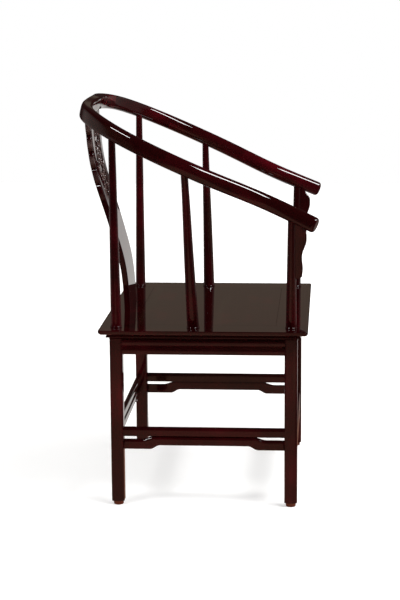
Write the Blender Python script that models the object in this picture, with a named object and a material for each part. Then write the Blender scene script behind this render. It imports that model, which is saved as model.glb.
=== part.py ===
"""Horseshoe-back armchair in dark lacquered hardwood, built piece by piece as a joiner builds it.

Metres, +Z up. The sitter faces -Y, so the sitter's left is +X and the right is -X.
The pieces are placed from the middle of the seat, on the floor, and the whole chair then
hangs from one empty that puts the origin under the middle of its overall size.
"""

import math

import bmesh
import bpy
import numpy as np
from mathutils import Vector

# Fits
fit_gap = 0.0003
mortise_gap = 0.0004
tenon_length = 0.0105
tenon_thickness = 0.0060
bar_tenon_share = 0.43
overrun = 0.03

# Whole chair
seat_width = 0.660
seat_depth = 0.500
seat_height = 0.440
seat_centre_setback = -0.0172

# Legs, which run on through the seat as posts
leg_side = 0.031
leg_corner_radius = 0.0045
leg_inset_side = 0.0326
leg_inset_front = 0.0254
leg_inset_back = 0.0240
post_base_radius = 0.0130
rear_post_top_radius = 0.0080
front_post_top_radius = 0.0088
post_ring_height = 0.0030
post_ring_swell = 0.0009
post_ring_shares = ((0.0, 1.0), (0.5, 1.0), (0.85, 0.6), (1.0, 0.0))
arm_post_lean = 0.0015
rear_post_lean = 0.0010
rear_post_top_inset = 0.0050

# Side posts, which stand on the side rails of the seat
side_post_base_x = 0.2830
side_post_base_y = 0.0251
side_post_top_y = 0.0381
side_post_base_radius = 0.0145
side_post_top_radius = 0.0080
side_post_tenon_radius = 0.0080
side_post_tenon_length = 0.014
side_post_bend_shares = (
    (0.0, 0.0),
    (0.20, 0.27),
    (0.42, 0.49),
    (0.62, 0.61),
    (0.82, 0.75),
    (1.0, 1.0),
)

# Horseshoe rail
rail_half_width = 0.358
rail_back_y = 0.2895
rail_tip_y = -0.2678
rail_crest_height = 0.9545
rail_tip_height = 0.6950
rail_arm_half_thickness = 0.0155
rail_arm_half_height = 0.0186
rail_back_half_thickness = 0.0145
rail_back_half_height = 0.0203
rail_back_roll = math.radians(17.0)
rail_back_fade_share = 0.6
rail_roundness = 2.8
rail_end_rounding = 0.0055
rail_end_shares = ((1.0, 1.0), (0.45, 0.965), (0.12, 0.90), (0.0, 0.80))
rail_ring_spacing = 0.0195
rail_path_shares = (
    (0.0, 1.0, 1.0),
    (0.3687, 1.0072, 0.9796),
    (0.6941, 0.9526, 0.9256),
    (0.9162, 0.8145, 0.7892),
    (1.0, 0.6247, 0.6031),
    (0.9743, 0.4240, 0.4085),
    (0.8841, 0.2267, 0.2177),
    (0.9531, 0.0, 0.0),
)
rail_scarf_shares = (0.215, 0.525)
scarf_length = 0.060
scarf_wedge_side = 0.0070
scarf_wedge_length = 0.0180
scarf_wedge_taper_share = 0.86

# Splat
splat_bottom_width = 0.142
splat_top_width = 0.176
splat_thickness = 0.0150
splat_edge_chamfer = 0.0020
splat_base_y = 0.2070
splat_top_setback = 0.0090
splat_housing = 0.0085
splat_housing_reach_share = 2.2
splat_tenon_length = 0.014
splat_bend_shares = (
    (0.0, 0.0),
    (0.125, 0.035),
    (0.25, 0.125),
    (0.375, 0.30),
    (0.50, 0.50),
    (0.625, 0.715),
    (0.75, 0.875),
    (0.875, 0.953),
    (1.0, 1.0),
)
splat_levels = 21

# Shaped flanges down both edges of the splat's upper part
flange_length = 0.190
flange_thickness = 0.0090
flange_widest = 0.0130
flange_narrowest = 0.0045
flange_foot_lobe_share = 0.35
flange_lobes = 5
flange_rings_per_lobe = 5

# Brackets in front of the front posts
bracket_length = 0.139
bracket_thickness = 0.0095
bracket_edge_rounding = 0.0025
bracket_bulge = 0.0258
bracket_seat_share = 0.62
bracket_outline_shares = (
    (0.0, 0.12),
    (0.017, 0.39),
    (0.057, 0.56),
    (0.148, 0.62),
    (0.303, 0.565),
    (0.421, 0.60),
    (0.496, 0.74),
    (0.601, 0.96),
    (0.698, 1.0),
    (0.786, 0.88),
    (0.841, 0.60),
    (1.0, 0.5),
)
bracket_levels = 22

# Seat frame
seat_rail_width = 0.078
seat_rail_thickness = 0.024
seat_lip_height = 0.0117
seat_lip_radius = 0.0032
seat_lip_foot_radius = 0.0062
seat_step_in = 0.0170
seat_bead_height = 0.0038
seat_cove_in = 0.0240
mitre_setback_share = 0.75
mitre_tenon_height = 0.0080
mitre_tenon_width = 0.0100
mitre_tenon_reach = 0.0280
mitre_tenon_drop = 0.0170
mitre_tenon_in = 0.0630

# Seat panel and its battens
panel_thickness = 0.0130
panel_tongue_thickness = 0.0055
panel_tongue_length = 0.0075
panel_tongue_drop = 0.0065
panel_groove_depth = 0.0080
panel_corner_chamfer = 0.0004
batten_width = 0.030
batten_thickness = 0.018
batten_spacing = 0.220
batten_tenon_thickness = 0.0060

# Aprons, whose section is drawn as shares of half the thickness and of the height
apron_height = 0.0383
apron_thickness = 0.0160
apron_recess = 0.0025
apron_tenon_share = 0.42
apron_profile_shares = (
    (-1.0, 0.0),
    (0.80, 0.0),
    (0.94, 0.03),
    (1.0, 0.15),
    (0.90, 0.27),
    (0.50, 0.38),
    (0.50, 0.48),
    (0.88, 0.56),
    (1.0, 0.72),
    (0.88, 0.87),
    (0.60, 0.92),
    (0.60, 1.0),
    (-1.0, 1.0),
)

# Stretchers: the front pair stands lower than the other three
stretcher_height = 0.0206
stretcher_thickness = 0.0126
stretcher_recess = 0.0020
stretcher_rounding = 0.0045
side_stretcher_top = 0.1957
front_stretcher_drop = 0.0428
hump_drop = 0.0115
hump_height = 0.0100
hump_top_bend_shares = (0.77, 0.645)
hump_foot_bend_shares = (0.655, 0.555)
hump_bend_rings = 4

# Foot pads
pad_radius = 0.0120
pad_height = 0.0100
pad_edge_radius = 0.0025
pad_sides = 16
nail_head_radius = 0.0036
nail_head_height = 0.0012
nail_shank_radius = 0.0013
nail_length = 0.0240
nail_point_length = 0.0052
nail_countersink_radius = 0.0042
nail_countersink_depth = 0.0030
nail_sides = 8

# Worked out from the sizes above
leg_x = seat_width / 2 - leg_inset_side - leg_side / 2
front_leg_y = -(seat_depth / 2 - leg_inset_front - leg_side / 2)
back_leg_y = seat_depth / 2 - leg_inset_back - leg_side / 2
seat_underside = seat_height - seat_rail_thickness
leg_foot = pad_height + fit_gap


def clear_scene():
    for item in list(bpy.data.objects):
        bpy.data.objects.remove(item, do_unlink=True)


def make_material(name, colour, roughness, metallic=0.0):
    material = bpy.data.materials.new(name)
    material.use_nodes = True
    shader = material.node_tree.nodes["Principled BSDF"]
    shader.inputs["Base Color"].default_value = (*colour, 1.0)
    shader.inputs["Roughness"].default_value = roughness
    shader.inputs["Metallic"].default_value = metallic
    material.diffuse_color = (*colour, 1.0)
    return material


def frame_lacquer():
    return make_material("frame_lacquer", (0.045, 0.010, 0.010), 0.12)


def rail_lacquer():
    return make_material("rail_lacquer", (0.052, 0.011, 0.012), 0.10)


def splat_lacquer():
    return make_material("splat_lacquer", (0.048, 0.011, 0.010), 0.08)


def seat_lacquer():
    return make_material("seat_lacquer", (0.035, 0.012, 0.010), 0.05)


def bare_hardwood():
    return make_material("bare_hardwood", (0.16, 0.06, 0.035), 0.55)


def pad_plastic():
    return make_material("pad_plastic", (0.13, 0.045, 0.025), 0.40)


def nail_steel():
    return make_material("nail_steel", (0.55, 0.55, 0.56), 0.30, 1.0)


def rounded_rectangle(width, height, radius, steps):
    """Corner points of a rectangle with round corners, anticlockwise, steps points a corner."""
    radius = min(radius, width / 2, height / 2)
    points = []
    for corner, (side_x, side_y) in enumerate(((1, 1), (-1, 1), (-1, -1), (1, -1))):
        centre_x = side_x * (width / 2 - radius)
        centre_y = side_y * (height / 2 - radius)
        for step in range(steps):
            angle = math.pi / 2 * (corner + (step + 0.5) / steps)
            points.append((centre_x + radius * math.cos(angle), centre_y + radius * math.sin(angle)))
    return points


def superellipse(half_width, half_height, roundness, count):
    points = []
    for step in range(count):
        angle = 2 * math.pi * (step + 0.5) / count
        cosine, sine = math.cos(angle), math.sin(angle)
        reach = (abs(cosine) ** roundness + abs(sine) ** roundness) ** (-1 / roundness)
        points.append((half_width * reach * cosine, half_height * reach * sine))
    return points


def circle_ring(x, y, z, radius, count=16):
    ring = []
    for step in range(count):
        angle = 2 * math.pi * (step + 0.5) / count
        ring.append(Vector((x + radius * math.cos(angle), y + radius * math.sin(angle), z)))
    return ring


def smooth_curve(knots, places):
    """Natural cubic spline: knots are (place, value...) rows and places lie between their ends."""
    rows = np.array(knots, float)
    at, values = rows[:, 0], rows[:, 1:]
    count, step = len(at), np.diff(at)
    system = np.eye(count)
    bends = np.zeros_like(values)
    for i in range(1, count - 1):
        system[i, i - 1 : i + 2] = step[i - 1], 2 * (step[i - 1] + step[i]), step[i]
        rise, before = (values[i + 1] - values[i]) / step[i], (values[i] - values[i - 1]) / step[i - 1]
        bends[i] = 6 * (rise - before)
    bends = np.linalg.solve(system, bends)
    found = []
    for place in np.atleast_1d(places):
        i = int(np.clip(np.searchsorted(at, place) - 1, 0, count - 2))
        left, right, span = at[i + 1] - place, place - at[i], step[i]
        found.append(
            (bends[i] * left**3 + bends[i + 1] * right**3) / (6 * span)
            + (values[i] / span - bends[i] * span / 6) * left
            + (values[i + 1] / span - bends[i + 1] * span / 6) * right
        )
    return np.array(found)


def loft(name, rings, closed_loop=False):
    """A solid skinned over rings of equal point counts, capped at both ends unless it closes on itself."""
    mesh = bpy.data.meshes.new(name)
    shape = bmesh.new()
    rows = [[shape.verts.new(point) for point in ring] for ring in rings]
    count = len(rows[0])
    pairs = list(zip(rows, rows[1:]))
    if closed_loop:
        pairs.append((rows[-1], rows[0]))
    else:
        shape.faces.new(rows[0])
        shape.faces.new(rows[-1])
    for lower, upper in pairs:
        for i in range(count):
            j = (i + 1) % count
            shape.faces.new((lower[i], lower[j], upper[j], upper[i]))
    bmesh.ops.recalc_face_normals(shape, faces=shape.faces)
    shape.to_mesh(mesh)
    shape.free()
    return mesh


def place(name, mesh, material, location=(0, 0, 0), turn=0.0, smooth_angle=40.0):
    piece = bpy.data.objects.new(name, mesh)
    bpy.context.scene.collection.objects.link(piece)
    piece.parent = chair
    piece.location = location
    piece.rotation_euler = (0, 0, turn)
    if not mesh.materials:
        mesh.materials.append(material)
    mesh.shade_smooth()
    mesh.set_sharp_from_angle(angle=math.radians(smooth_angle))
    return piece


def cutter_from(name, mesh, location=(0, 0, 0), turn=0.0):
    tool = bpy.data.objects.new(name, mesh)
    bpy.context.scene.collection.objects.link(tool)
    tool.parent = chair
    tool.location = location
    tool.rotation_euler = (0, 0, turn)
    tool.hide_render = True
    tool.display_type = "WIRE"
    return tool


def combine(piece, tool, operation="DIFFERENCE"):
    modifier = piece.modifiers.new(f"{operation.lower()}_{tool.name}", "BOOLEAN")
    modifier.operation = operation
    modifier.solver = "EXACT"
    modifier.object = tool


def box_mesh(name, low, high):
    rings = []
    for z in (low[2], high[2]):
        corners = ((low[0], low[1]), (high[0], low[1]), (high[0], high[1]), (low[0], high[1]))
        rings.append([(x, y, z) for x, y in corners])
    return loft(name, rings)


# Horseshoe rail
def rail_knots():
    points = []
    for x_share, y_share, z_share in rail_path_shares:
        y = rail_tip_y + (rail_back_y - rail_tip_y) * y_share
        z = rail_tip_height + (rail_crest_height - rail_tip_height) * z_share
        points.append((rail_half_width * x_share, y, z))
    points = [(-x, y, z) for x, y, z in reversed(points[1:])] + points
    middle = len(points) // 2
    lengths = [0.0]
    for before, after in zip(points, points[1:]):
        lengths.append(lengths[-1] + math.dist(before, after))
    return [(length - lengths[middle], *point) for length, point in zip(lengths, points)]


def rail_length():
    return rail_knots()[-1][0]


def rail_centre(distance):
    """The rail's centre line, by distance from the middle of the back, positive to the left."""
    return Vector(smooth_curve(rail_knots(), distance)[0])


def rail_frame(distance):
    """Centre, and unit vectors along, outward and up, of the rail at a distance from its middle."""
    small = scarf_length / 100
    along = (rail_centre(distance + small) - rail_centre(distance - small)).normalized()
    outward = Vector((0, 0, 1)).cross(along).normalized()
    up = along.cross(outward).normalized()
    if up.z < 0:
        up = -up
    return rail_centre(distance), along, outward, up


def rail_ring(distance, growth=0.0, shrink=1.0, count=16):
    end = rail_length()
    share = min(abs(distance) / end, 1.0)
    fade = max(0.0, 1 - share / rail_back_fade_share)
    fade = fade * fade * (3 - 2 * fade)
    half_thickness = rail_arm_half_thickness + (rail_back_half_thickness - rail_arm_half_thickness) * fade
    half_height = rail_arm_half_height + (rail_back_half_height - rail_arm_half_height) * fade
    roll = rail_back_roll * fade
    bounded = max(-end, min(end, distance))
    centre, along, outward, up = rail_frame(bounded)
    centre = centre + along * (distance - bounded)
    turned_out = outward * math.cos(roll) + up * math.sin(roll)
    turned_up = up * math.cos(roll) - outward * math.sin(roll)
    half_thickness = half_thickness * shrink + growth
    half_height = half_height * shrink + growth
    outline = superellipse(half_thickness, half_height, rail_roundness, count)
    return [centre + turned_out * x + turned_up * y for x, y in outline]


def rail_sweep(name, start, stop, growth=0.0, round_end=False):
    steps = max(2, math.ceil(abs(stop - start) / rail_ring_spacing))
    places = [start + (stop - start) * i / steps for i in range(steps + 1)]
    if not round_end:
        return loft(name, [rail_ring(place_, growth) for place_ in places])
    side = math.copysign(1, stop)
    rings = [rail_ring(place_) for place_ in places[:-1] if abs(place_) < abs(stop) - 2 * rail_end_rounding]
    for back_share, shrink in rail_end_shares:
        rings.append(rail_ring(stop - side * rail_end_rounding * back_share, shrink=shrink))
    return loft(name, rings)


def scarf_cutter(name, distance, side, keeps_back):
    """Removes what lies past a stepped lap: the back piece keeps the lower tongue."""
    centre, along, outward, up = rail_frame(side * distance)
    along = along * side
    lap, far = scarf_length / 2, scarf_length / 2 + overrun
    start, end, level = -lap + fit_gap, lap + fit_gap, -fit_gap
    if keeps_back:
        outline = [(-lap, -far), (-lap, 0), (lap, 0), (lap, far), (far, far), (far, -far)]
    else:
        outline = [(start, -far), (start, level), (end, level), (end, far), (-far, far), (-far, -far)]
    rings = []
    for reach in (-overrun, overrun):
        rings.append([centre + along * x + up * z + outward * reach for x, z in outline])
    return cutter_from(name, loft(name, rings))


def wedge_rings(distance, side, growth):
    centre, along, outward, up = rail_frame(side * distance)
    rings = []
    for end, share in ((-1, 1.0), (1, scarf_wedge_taper_share)):
        half = scarf_wedge_side / 2 * share + growth
        level = end * (scarf_wedge_length / 2 + growth) - fit_gap / 2
        corners = ((half, half), (-half, half), (-half, -half), (half, -half))
        rings.append([centre + along * x + outward * y + up * level for x, y in corners])
    return rings


def make_rail():
    end = rail_length()
    rear_scarf, arm_scarf = (end * share for share in rail_scarf_shares)
    reach = scarf_length / 2 + rail_ring_spacing / 2
    material = rail_lacquer()
    crest = place("crest_rail", rail_sweep("crest_rail", -rear_scarf - reach, rear_scarf + reach), material)
    pieces = {"crest": crest}
    for side, hand in ((1, "left"), (-1, "right")):
        shoulder_name, arm_name = f"shoulder_rail_{hand}", f"arm_rail_{hand}"
        shoulder_mesh = rail_sweep(shoulder_name, side * (rear_scarf - reach), side * (arm_scarf + reach))
        arm_mesh = rail_sweep(arm_name, side * (arm_scarf - reach), side * end, round_end=True)
        shoulder = place(shoulder_name, shoulder_mesh, material)
        arm = place(arm_name, arm_mesh, material)
        joints = (("rear", rear_scarf, crest, shoulder), ("arm", arm_scarf, shoulder, arm))
        for where, distance, back_piece, front_piece in joints:
            combine(back_piece, scarf_cutter(f"cut_{where}_scarf_back_{hand}", distance, side, True))
            combine(front_piece, scarf_cutter(f"cut_{where}_scarf_front_{hand}", distance, side, False))
            hole_name = f"cut_{where}_wedge_{hand}"
            hole = cutter_from(hole_name, loft(hole_name, wedge_rings(distance, side, mortise_gap)))
            combine(back_piece, hole)
            combine(front_piece, hole)
            wedge_name = f"scarf_wedge_{where}_{hand}"
            place(wedge_name, loft(wedge_name, wedge_rings(distance, side, 0.0)), bare_hardwood())
        pieces[f"shoulder_{hand}"], pieces[f"arm_{hand}"] = shoulder, arm
    return pieces


def rail_at_y(y):
    """The rail's centre on the left half where it passes a given distance from the seat's middle."""
    low, high = rail_length() * rail_scarf_shares[0] * 0.9, rail_length()
    for _ in range(40):
        middle = (low + high) / 2
        if rail_centre(middle).y > y:
            low = middle
        else:
            high = middle
    return rail_centre(low)


# Legs and posts
def leg_y(back):
    return back_leg_y if back else front_leg_y


def post_rings(path, base_radius, top_radius, growth, low, high, steps, count=16):
    """Level rings up a leaning post between two heights, given its path by height."""
    rings = []
    foot, head = path[0][0], path[-1][0]
    for i in range(steps + 1):
        z = low + (high - low) * i / steps
        x, y = smooth_curve(path, z)[0]
        radius = base_radius + (top_radius - base_radius) * (z - foot) / (head - foot)
        rings.append(circle_ring(x, y, z, radius + growth, count))
    return rings


def leg_post_path(back):
    """Rows of height, x and y up a left-hand post, from the seat to its socket in the rail."""
    y = leg_y(back)
    top = rail_at_y(y + (rear_post_lean if back else -arm_post_lean))
    if back:
        top.x -= rear_post_top_inset
    foot = Vector((leg_x, y, seat_height))
    rows = []
    for share in (0.0, 0.5, 1.0):
        point = foot.lerp(top, share)
        rows.append((point.z, point.x, point.y))
    return rows


def side_post_path():
    top = rail_at_y(side_post_top_y)
    rows = []
    for share, bend in side_post_bend_shares:
        x = side_post_base_x + (top.x - side_post_base_x) * bend
        y = side_post_base_y + (side_post_top_y - side_post_base_y) * share
        rows.append((seat_height + (top.z - seat_height) * share, x, y))
    return rows


def mirrored(rings, side):
    return [[(side * point[0], point[1], point[2]) for point in ring] for ring in rings]


def socket_rings(path, base_radius, top_radius):
    head = path[-1][0]
    low = head - rail_arm_half_height - rail_back_half_height
    return post_rings(path, base_radius, top_radius, mortise_gap, low, head + mortise_gap, 2)


def post_foot_rings(path, radius):
    """A thin raised ring where a post leaves the seat."""
    floor, x, y = path[0]
    rings = []
    for share, swell in post_ring_shares:
        z = floor + fit_gap + post_ring_height * share
        rings.append(circle_ring(x, y, z, radius + post_ring_swell * swell))
    return rings


def leg_mortise(name, centre, half_sizes):
    low = [c - h - mortise_gap for c, h in zip(centre, half_sizes)]
    high = [c + h + mortise_gap for c, h in zip(centre, half_sizes)]
    return cutter_from(name, box_mesh(name, low, high))


def tenon_levels(across):
    """Centre height, height and distance out from the leg's middle of each tenon that enters a leg."""
    top = stretcher_top(across)
    straight_centre = top - stretcher_height / 2
    hump_centre = top - stretcher_height - hump_drop - stretcher_height / 2
    apron_centre = seat_underside - fit_gap - apron_height / 2
    bar = stretcher_height * bar_tenon_share
    return (
        (straight_centre, bar, stretcher_offset()),
        (hump_centre, bar, stretcher_offset()),
        (apron_centre, apron_height * apron_tenon_share, 0.0),
    )


def make_leg(name, side, back, rails):
    sign = 1 if back else -1
    middle_y = leg_y(back)
    path = leg_post_path(back)
    top_radius = rear_post_top_radius if back else front_post_top_radius
    square = rounded_rectangle(leg_side, leg_side, leg_corner_radius, 4)
    rings = []
    for z in (leg_foot, seat_underside - fit_gap):
        rings.append([(leg_x + x, middle_y + y, z) for x, y in square])
    rings.append(circle_ring(leg_x, middle_y, seat_underside - fit_gap, post_base_radius))
    rings.append(circle_ring(leg_x, middle_y, seat_height + fit_gap, post_base_radius))
    rings.extend(post_foot_rings(path, post_base_radius))
    low = seat_height + fit_gap + post_ring_height * 2
    rings.extend(post_rings(path, post_base_radius, top_radius, 0.0, low, path[-1][0], 7))
    leg = place(name, loft(name, mirrored(rings, side)), frame_lacquer())

    inner_x = side * (leg_x - leg_side / 2)
    inner_y = middle_y - sign * leg_side / 2
    half_depth, half_thick = (tenon_length + overrun) / 2, tenon_thickness / 2
    for across, label in ((True, "cross"), (False, "side")):
        row = ("back" if back else "front") if across else "side"
        for number, (centre_z, height, out) in enumerate(tenon_levels(row)):
            if across:
                centre = (inner_x + side * (tenon_length - overrun) / 2, middle_y + sign * out, centre_z)
                halves = (half_depth, half_thick, height / 2)
            else:
                centre = (side * (leg_x + out), inner_y + sign * (tenon_length - overrun) / 2, centre_z)
                halves = (half_thick, half_depth, height / 2)
            combine(leg, leg_mortise(f"cut_{name}_{label}_{number}", centre, halves))

    nail_name = f"cut_{name}_nail"
    nail_top = nail_countersink_depth + nail_length
    hole_rings = []
    bore = nail_shank_radius + mortise_gap
    for z in (0, nail_top + mortise_gap):
        hole_rings.append(circle_ring(side * leg_x, middle_y, z, bore, nail_sides))
    combine(leg, cutter_from(nail_name, loft(nail_name, hole_rings)))

    socket_name = f"cut_{name}_socket"
    rings = mirrored(socket_rings(path, post_base_radius, top_radius), side)
    combine(rails, cutter_from(socket_name, loft(socket_name, rings)))
    return leg


def make_side_post(name, side, arm):
    path = side_post_path()
    rings = []
    for z in (seat_height - side_post_tenon_length, seat_height + fit_gap):
        rings.append(circle_ring(path[0][1], path[0][2], z, side_post_tenon_radius))
    rings.extend(post_foot_rings(path, side_post_base_radius))
    low = seat_height + fit_gap + post_ring_height * 2
    rings.extend(post_rings(path, side_post_base_radius, side_post_top_radius, 0.0, low, path[-1][0], 9))
    post = place(name, loft(name, mirrored(rings, side)), frame_lacquer())
    socket_name = f"cut_{name}_socket"
    rings = mirrored(socket_rings(path, side_post_base_radius, side_post_top_radius), side)
    combine(arm, cutter_from(socket_name, loft(socket_name, rings)))
    return post


# Splat and its flanges
def splat_top():
    """Height and setback where the splat's middle line ends inside the crest rail."""
    centre = rail_centre(0.0)
    return centre.z - rail_back_half_height + splat_housing, centre.y + splat_top_setback


def splat_middle(share):
    """Setback and height of the splat's middle line at a share of its height above the seat."""
    top_z, top_y = splat_top()
    bend = smooth_curve(splat_bend_shares, share)[0][0]
    z = seat_height + (top_z - seat_height) * share
    return Vector((0, splat_base_y + (top_y - splat_base_y) * bend, z))


def splat_ring(share, growth=0.0, width=None, thickness=splat_thickness, offset=0.0):
    if width is None:
        width = splat_bottom_width + (splat_top_width - splat_bottom_width) * share
    small_share = 1 / (10 * splat_levels)
    low, high = max(0.0, share - small_share), min(1.0, share + small_share)
    along = (splat_middle(high) - splat_middle(low)).normalized()
    across = Vector((1, 0, 0))
    normal = along.cross(across)
    centre = splat_middle(share) + across * offset
    outline = rounded_rectangle(width + 2 * growth, thickness + 2 * growth, splat_edge_chamfer, 2)
    return [centre + across * x + normal * y for x, y in outline]


def make_splat(crest, seat_back):
    rings = []
    tenon = rounded_rectangle(splat_bottom_width - splat_thickness, tenon_thickness, splat_edge_chamfer, 2)
    for z in (seat_height - splat_tenon_length, seat_height + fit_gap):
        rings.append([(x, splat_base_y + y, z) for x, y in tenon])
    foot = rounded_rectangle(splat_bottom_width, splat_thickness, splat_edge_chamfer, 2)
    rings.append([(x, splat_base_y + y, seat_height + fit_gap) for x, y in foot])
    for level in range(1, splat_levels):
        rings.append(splat_ring(level / (splat_levels - 1)))
    splat = place("back_splat", loft("back_splat", rings), splat_lacquer())

    housing = 1 - splat_housing_reach_share * splat_housing / (splat_top()[0] - seat_height)
    top = splat_ring(1.0, mortise_gap)
    lift = Vector((0, 0, mortise_gap))
    cut = loft("cut_splat_housing", [splat_ring(housing, mortise_gap), [point + lift for point in top]])
    combine(crest, cutter_from("cut_splat_housing", cut))

    half_width = (splat_bottom_width - splat_thickness) / 2 + mortise_gap
    half_thick = tenon_thickness / 2 + mortise_gap
    low = (-half_width, splat_base_y - half_thick, seat_height - splat_tenon_length - mortise_gap)
    high = (half_width, splat_base_y + half_thick, seat_height + overrun)
    combine(seat_back, cutter_from("cut_splat_mortise", box_mesh("cut_splat_mortise", low, high)))
    return splat


def flange_width(share):
    """Scalloped outline: lobes that widen up the flange, with cusps between them."""
    lobe = abs(math.sin(math.pi * flange_lobes * share))
    reach = flange_foot_lobe_share + (1 - flange_foot_lobe_share) * share
    return flange_narrowest + (flange_widest - flange_narrowest) * reach * math.sqrt(lobe)


def make_flange(name, side, rail_cutter):
    height = splat_top()[0] - seat_height
    steps = flange_lobes * flange_rings_per_lobe
    rings = []
    for i in range(steps + 1):
        share = i / steps
        level = 1 - flange_length / height * (1 - share)
        board = splat_bottom_width + (splat_top_width - splat_bottom_width) * level
        width = flange_width(share)
        offset = side * (board / 2 + fit_gap + width / 2)
        rings.append(splat_ring(level, width=width, thickness=flange_thickness, offset=offset))
    flange = place(name, loft(name, rings), splat_lacquer())
    combine(flange, rail_cutter)
    return flange


# Brackets
def make_bracket(name, side, arm_cutter):
    path = leg_post_path(False)
    top_z = path[-1][0]
    hang = rail_arm_half_height
    foot_z = top_z - hang - bracket_length
    rings = []
    for level in range(bracket_levels):
        share = level / (bracket_levels - 1)
        z = foot_z + (bracket_length + hang / 2) * share
        x, y = smooth_curve(path, min(z, top_z))[0]
        radius = post_radius_at(path, front_post_top_radius, z)
        back = y - radius * bracket_seat_share
        reach = bracket_bulge * smooth_curve(bracket_outline_shares, share)[0][0]
        front = y - radius - reach
        outline = rounded_rectangle(bracket_thickness, back - front, bracket_edge_rounding, 2)
        rings.append([(side * x + u, (front + back) / 2 + v, z) for u, v in outline])
    bracket = place(name, loft(name, rings), frame_lacquer())
    low, high = foot_z - overrun, top_z
    post_name = f"cut_{name}_post"
    around = post_rings(path, post_base_radius, front_post_top_radius, fit_gap, low, high, 6, 32)
    combine(bracket, cutter_from(post_name, loft(post_name, mirrored(around, side))))
    combine(bracket, arm_cutter)
    return bracket


def post_radius_at(path, top_radius, z):
    foot, head = path[0][0], path[-1][0]
    return post_base_radius + (top_radius - post_base_radius) * (z - foot) / (head - foot)


# Seat
def seat_profile():
    """Section of a seat rail as (distance in from the outer edge, drop from the top)."""
    points = [(seat_rail_width, 0.0)]
    for step in range(4):
        angle = math.pi / 2 * step / 3
        points.append((seat_lip_radius * (1 - math.sin(angle)), seat_lip_radius * (1 - math.cos(angle))))
    for step in range(4):
        angle = math.pi / 2 * step / 3
        drop = seat_lip_height - seat_lip_foot_radius * (1 - math.sin(angle))
        points.append((seat_lip_foot_radius * (1 - math.cos(angle)), drop))
    points.append((seat_step_in, seat_lip_height))
    bead_foot = seat_lip_height + seat_bead_height
    points.append((seat_step_in, bead_foot - seat_bead_height / 4))
    points.append((seat_step_in + seat_bead_height / 4, bead_foot))
    cove = (seat_cove_in - seat_step_in, seat_rail_thickness - bead_foot)
    for step in (1, 2, 3, 4):
        angle = math.pi / 2 * step / 4
        inward = seat_cove_in - cove[0] * math.cos(angle) ** 2
        points.append((inward, bead_foot + cove[1] * math.sin(angle)))
    points.append((seat_rail_width, seat_rail_thickness))
    groove_top = panel_tongue_drop - fit_gap
    groove_foot = panel_tongue_drop + panel_tongue_thickness + fit_gap
    points.append((seat_rail_width, groove_foot))
    points.append((seat_rail_width - panel_groove_depth, groove_foot))
    points.append((seat_rail_width - panel_groove_depth, groove_top))
    points.append((seat_rail_width, groove_top))
    return points


def make_seat_rail(name, half_length, half_span):
    """One mitred seat rail along X, its outer edge facing -Y, before it is turned into place."""
    setback = fit_gap * mitre_setback_share
    rings = []
    for end in (-1, 1):
        ring = []
        for inward, drop in seat_profile():
            ring.append((end * (half_length - inward - setback), -(half_span - inward), seat_height - drop))
        rings.append(ring)
    return loft(name, rings)


def make_seat_frame():
    half_width, half_depth = seat_width / 2, seat_depth / 2
    layout = (
        ("front", half_width, half_depth, 0.0),
        ("back", half_width, half_depth, math.pi),
        ("left", half_depth, half_width, math.pi / 2),
        ("right", half_depth, half_width, -math.pi / 2),
    )
    rails = {}
    for label, half_length, half_span, turn in layout:
        name = f"seat_rail_{label}"
        mesh = make_seat_rail(name, half_length, half_span)
        rails[label] = place(name, mesh, seat_lacquer(), turn=turn, smooth_angle=35.0)
    for side, hand in ((1, "left"), (-1, "right")):
        for sign, row in ((-1, "front"), (1, "back")):
            corner = f"{row}_{hand}"
            hole_name = f"cut_leg_hole_{corner}"
            hole = []
            radius = post_base_radius + mortise_gap
            for z in (seat_underside - overrun, seat_height + overrun):
                hole.append(circle_ring(side * leg_x, leg_y(sign > 0), z, radius, 24))
            cut = cutter_from(hole_name, loft(hole_name, hole))
            combine(rails[row], cut)
            combine(rails[hand], cut)
            add_mitre_tenon(corner, side, sign, rails[row], rails[hand])
    radius = side_post_tenon_radius + mortise_gap
    for side, hand in ((1, "left"), (-1, "right")):
        hole_name = f"cut_side_post_{hand}"
        hole = []
        for z in (seat_height - side_post_tenon_length - mortise_gap, seat_height + overrun):
            hole.append(circle_ring(side * side_post_base_x, side_post_base_y, z, radius))
        combine(rails[hand], cutter_from(hole_name, loft(hole_name, hole)))
    return rails


def add_mitre_tenon(corner, side, sign, long_rail, short_rail):
    """A tenon on the front or back rail that crosses the mitre into the side rail."""
    level = seat_height - mitre_tenon_drop
    middle_y = sign * (seat_depth / 2 - mitre_tenon_in)
    root = side * (seat_width / 2 - mitre_tenon_in - mitre_tenon_width)
    tip = side * (seat_width / 2 - mitre_tenon_in + mitre_tenon_reach)
    for growth, rail, operation in ((0.0, long_rail, "UNION"), (mortise_gap, short_rail, "DIFFERENCE")):
        half_width = mitre_tenon_width / 2 + growth
        half_height = mitre_tenon_height / 2 + growth
        low = (min(root, tip) - growth, middle_y - half_width, level - half_height)
        high = (max(root, tip) + growth, middle_y + half_width, level + half_height)
        name = f"cut_mitre_{operation.lower()}_{corner}"
        combine(rail, cutter_from(name, box_mesh(name, low, high)), operation)


def make_panel():
    half_x = seat_width / 2 - seat_rail_width - fit_gap
    half_y = seat_depth / 2 - seat_rail_width - fit_gap
    tongue_top = panel_tongue_drop
    tongue_foot = panel_tongue_drop + panel_tongue_thickness
    chamfer = panel_corner_chamfer
    levels = [(-chamfer, 0.0), (0.0, chamfer), (0.0, tongue_top), (panel_tongue_length, tongue_top)]
    levels += [(panel_tongue_length, tongue_foot), (0.0, tongue_foot), (0.0, panel_thickness)]
    rings = []
    for out, drop in levels:
        x, y, z = half_x + out, half_y + out, seat_height - drop
        rings.append([(x, y, z), (-x, y, z), (-x, -y, z), (x, -y, z)])
    return place("seat_panel", loft("seat_panel", rings), seat_lacquer(), smooth_angle=20.0)


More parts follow.
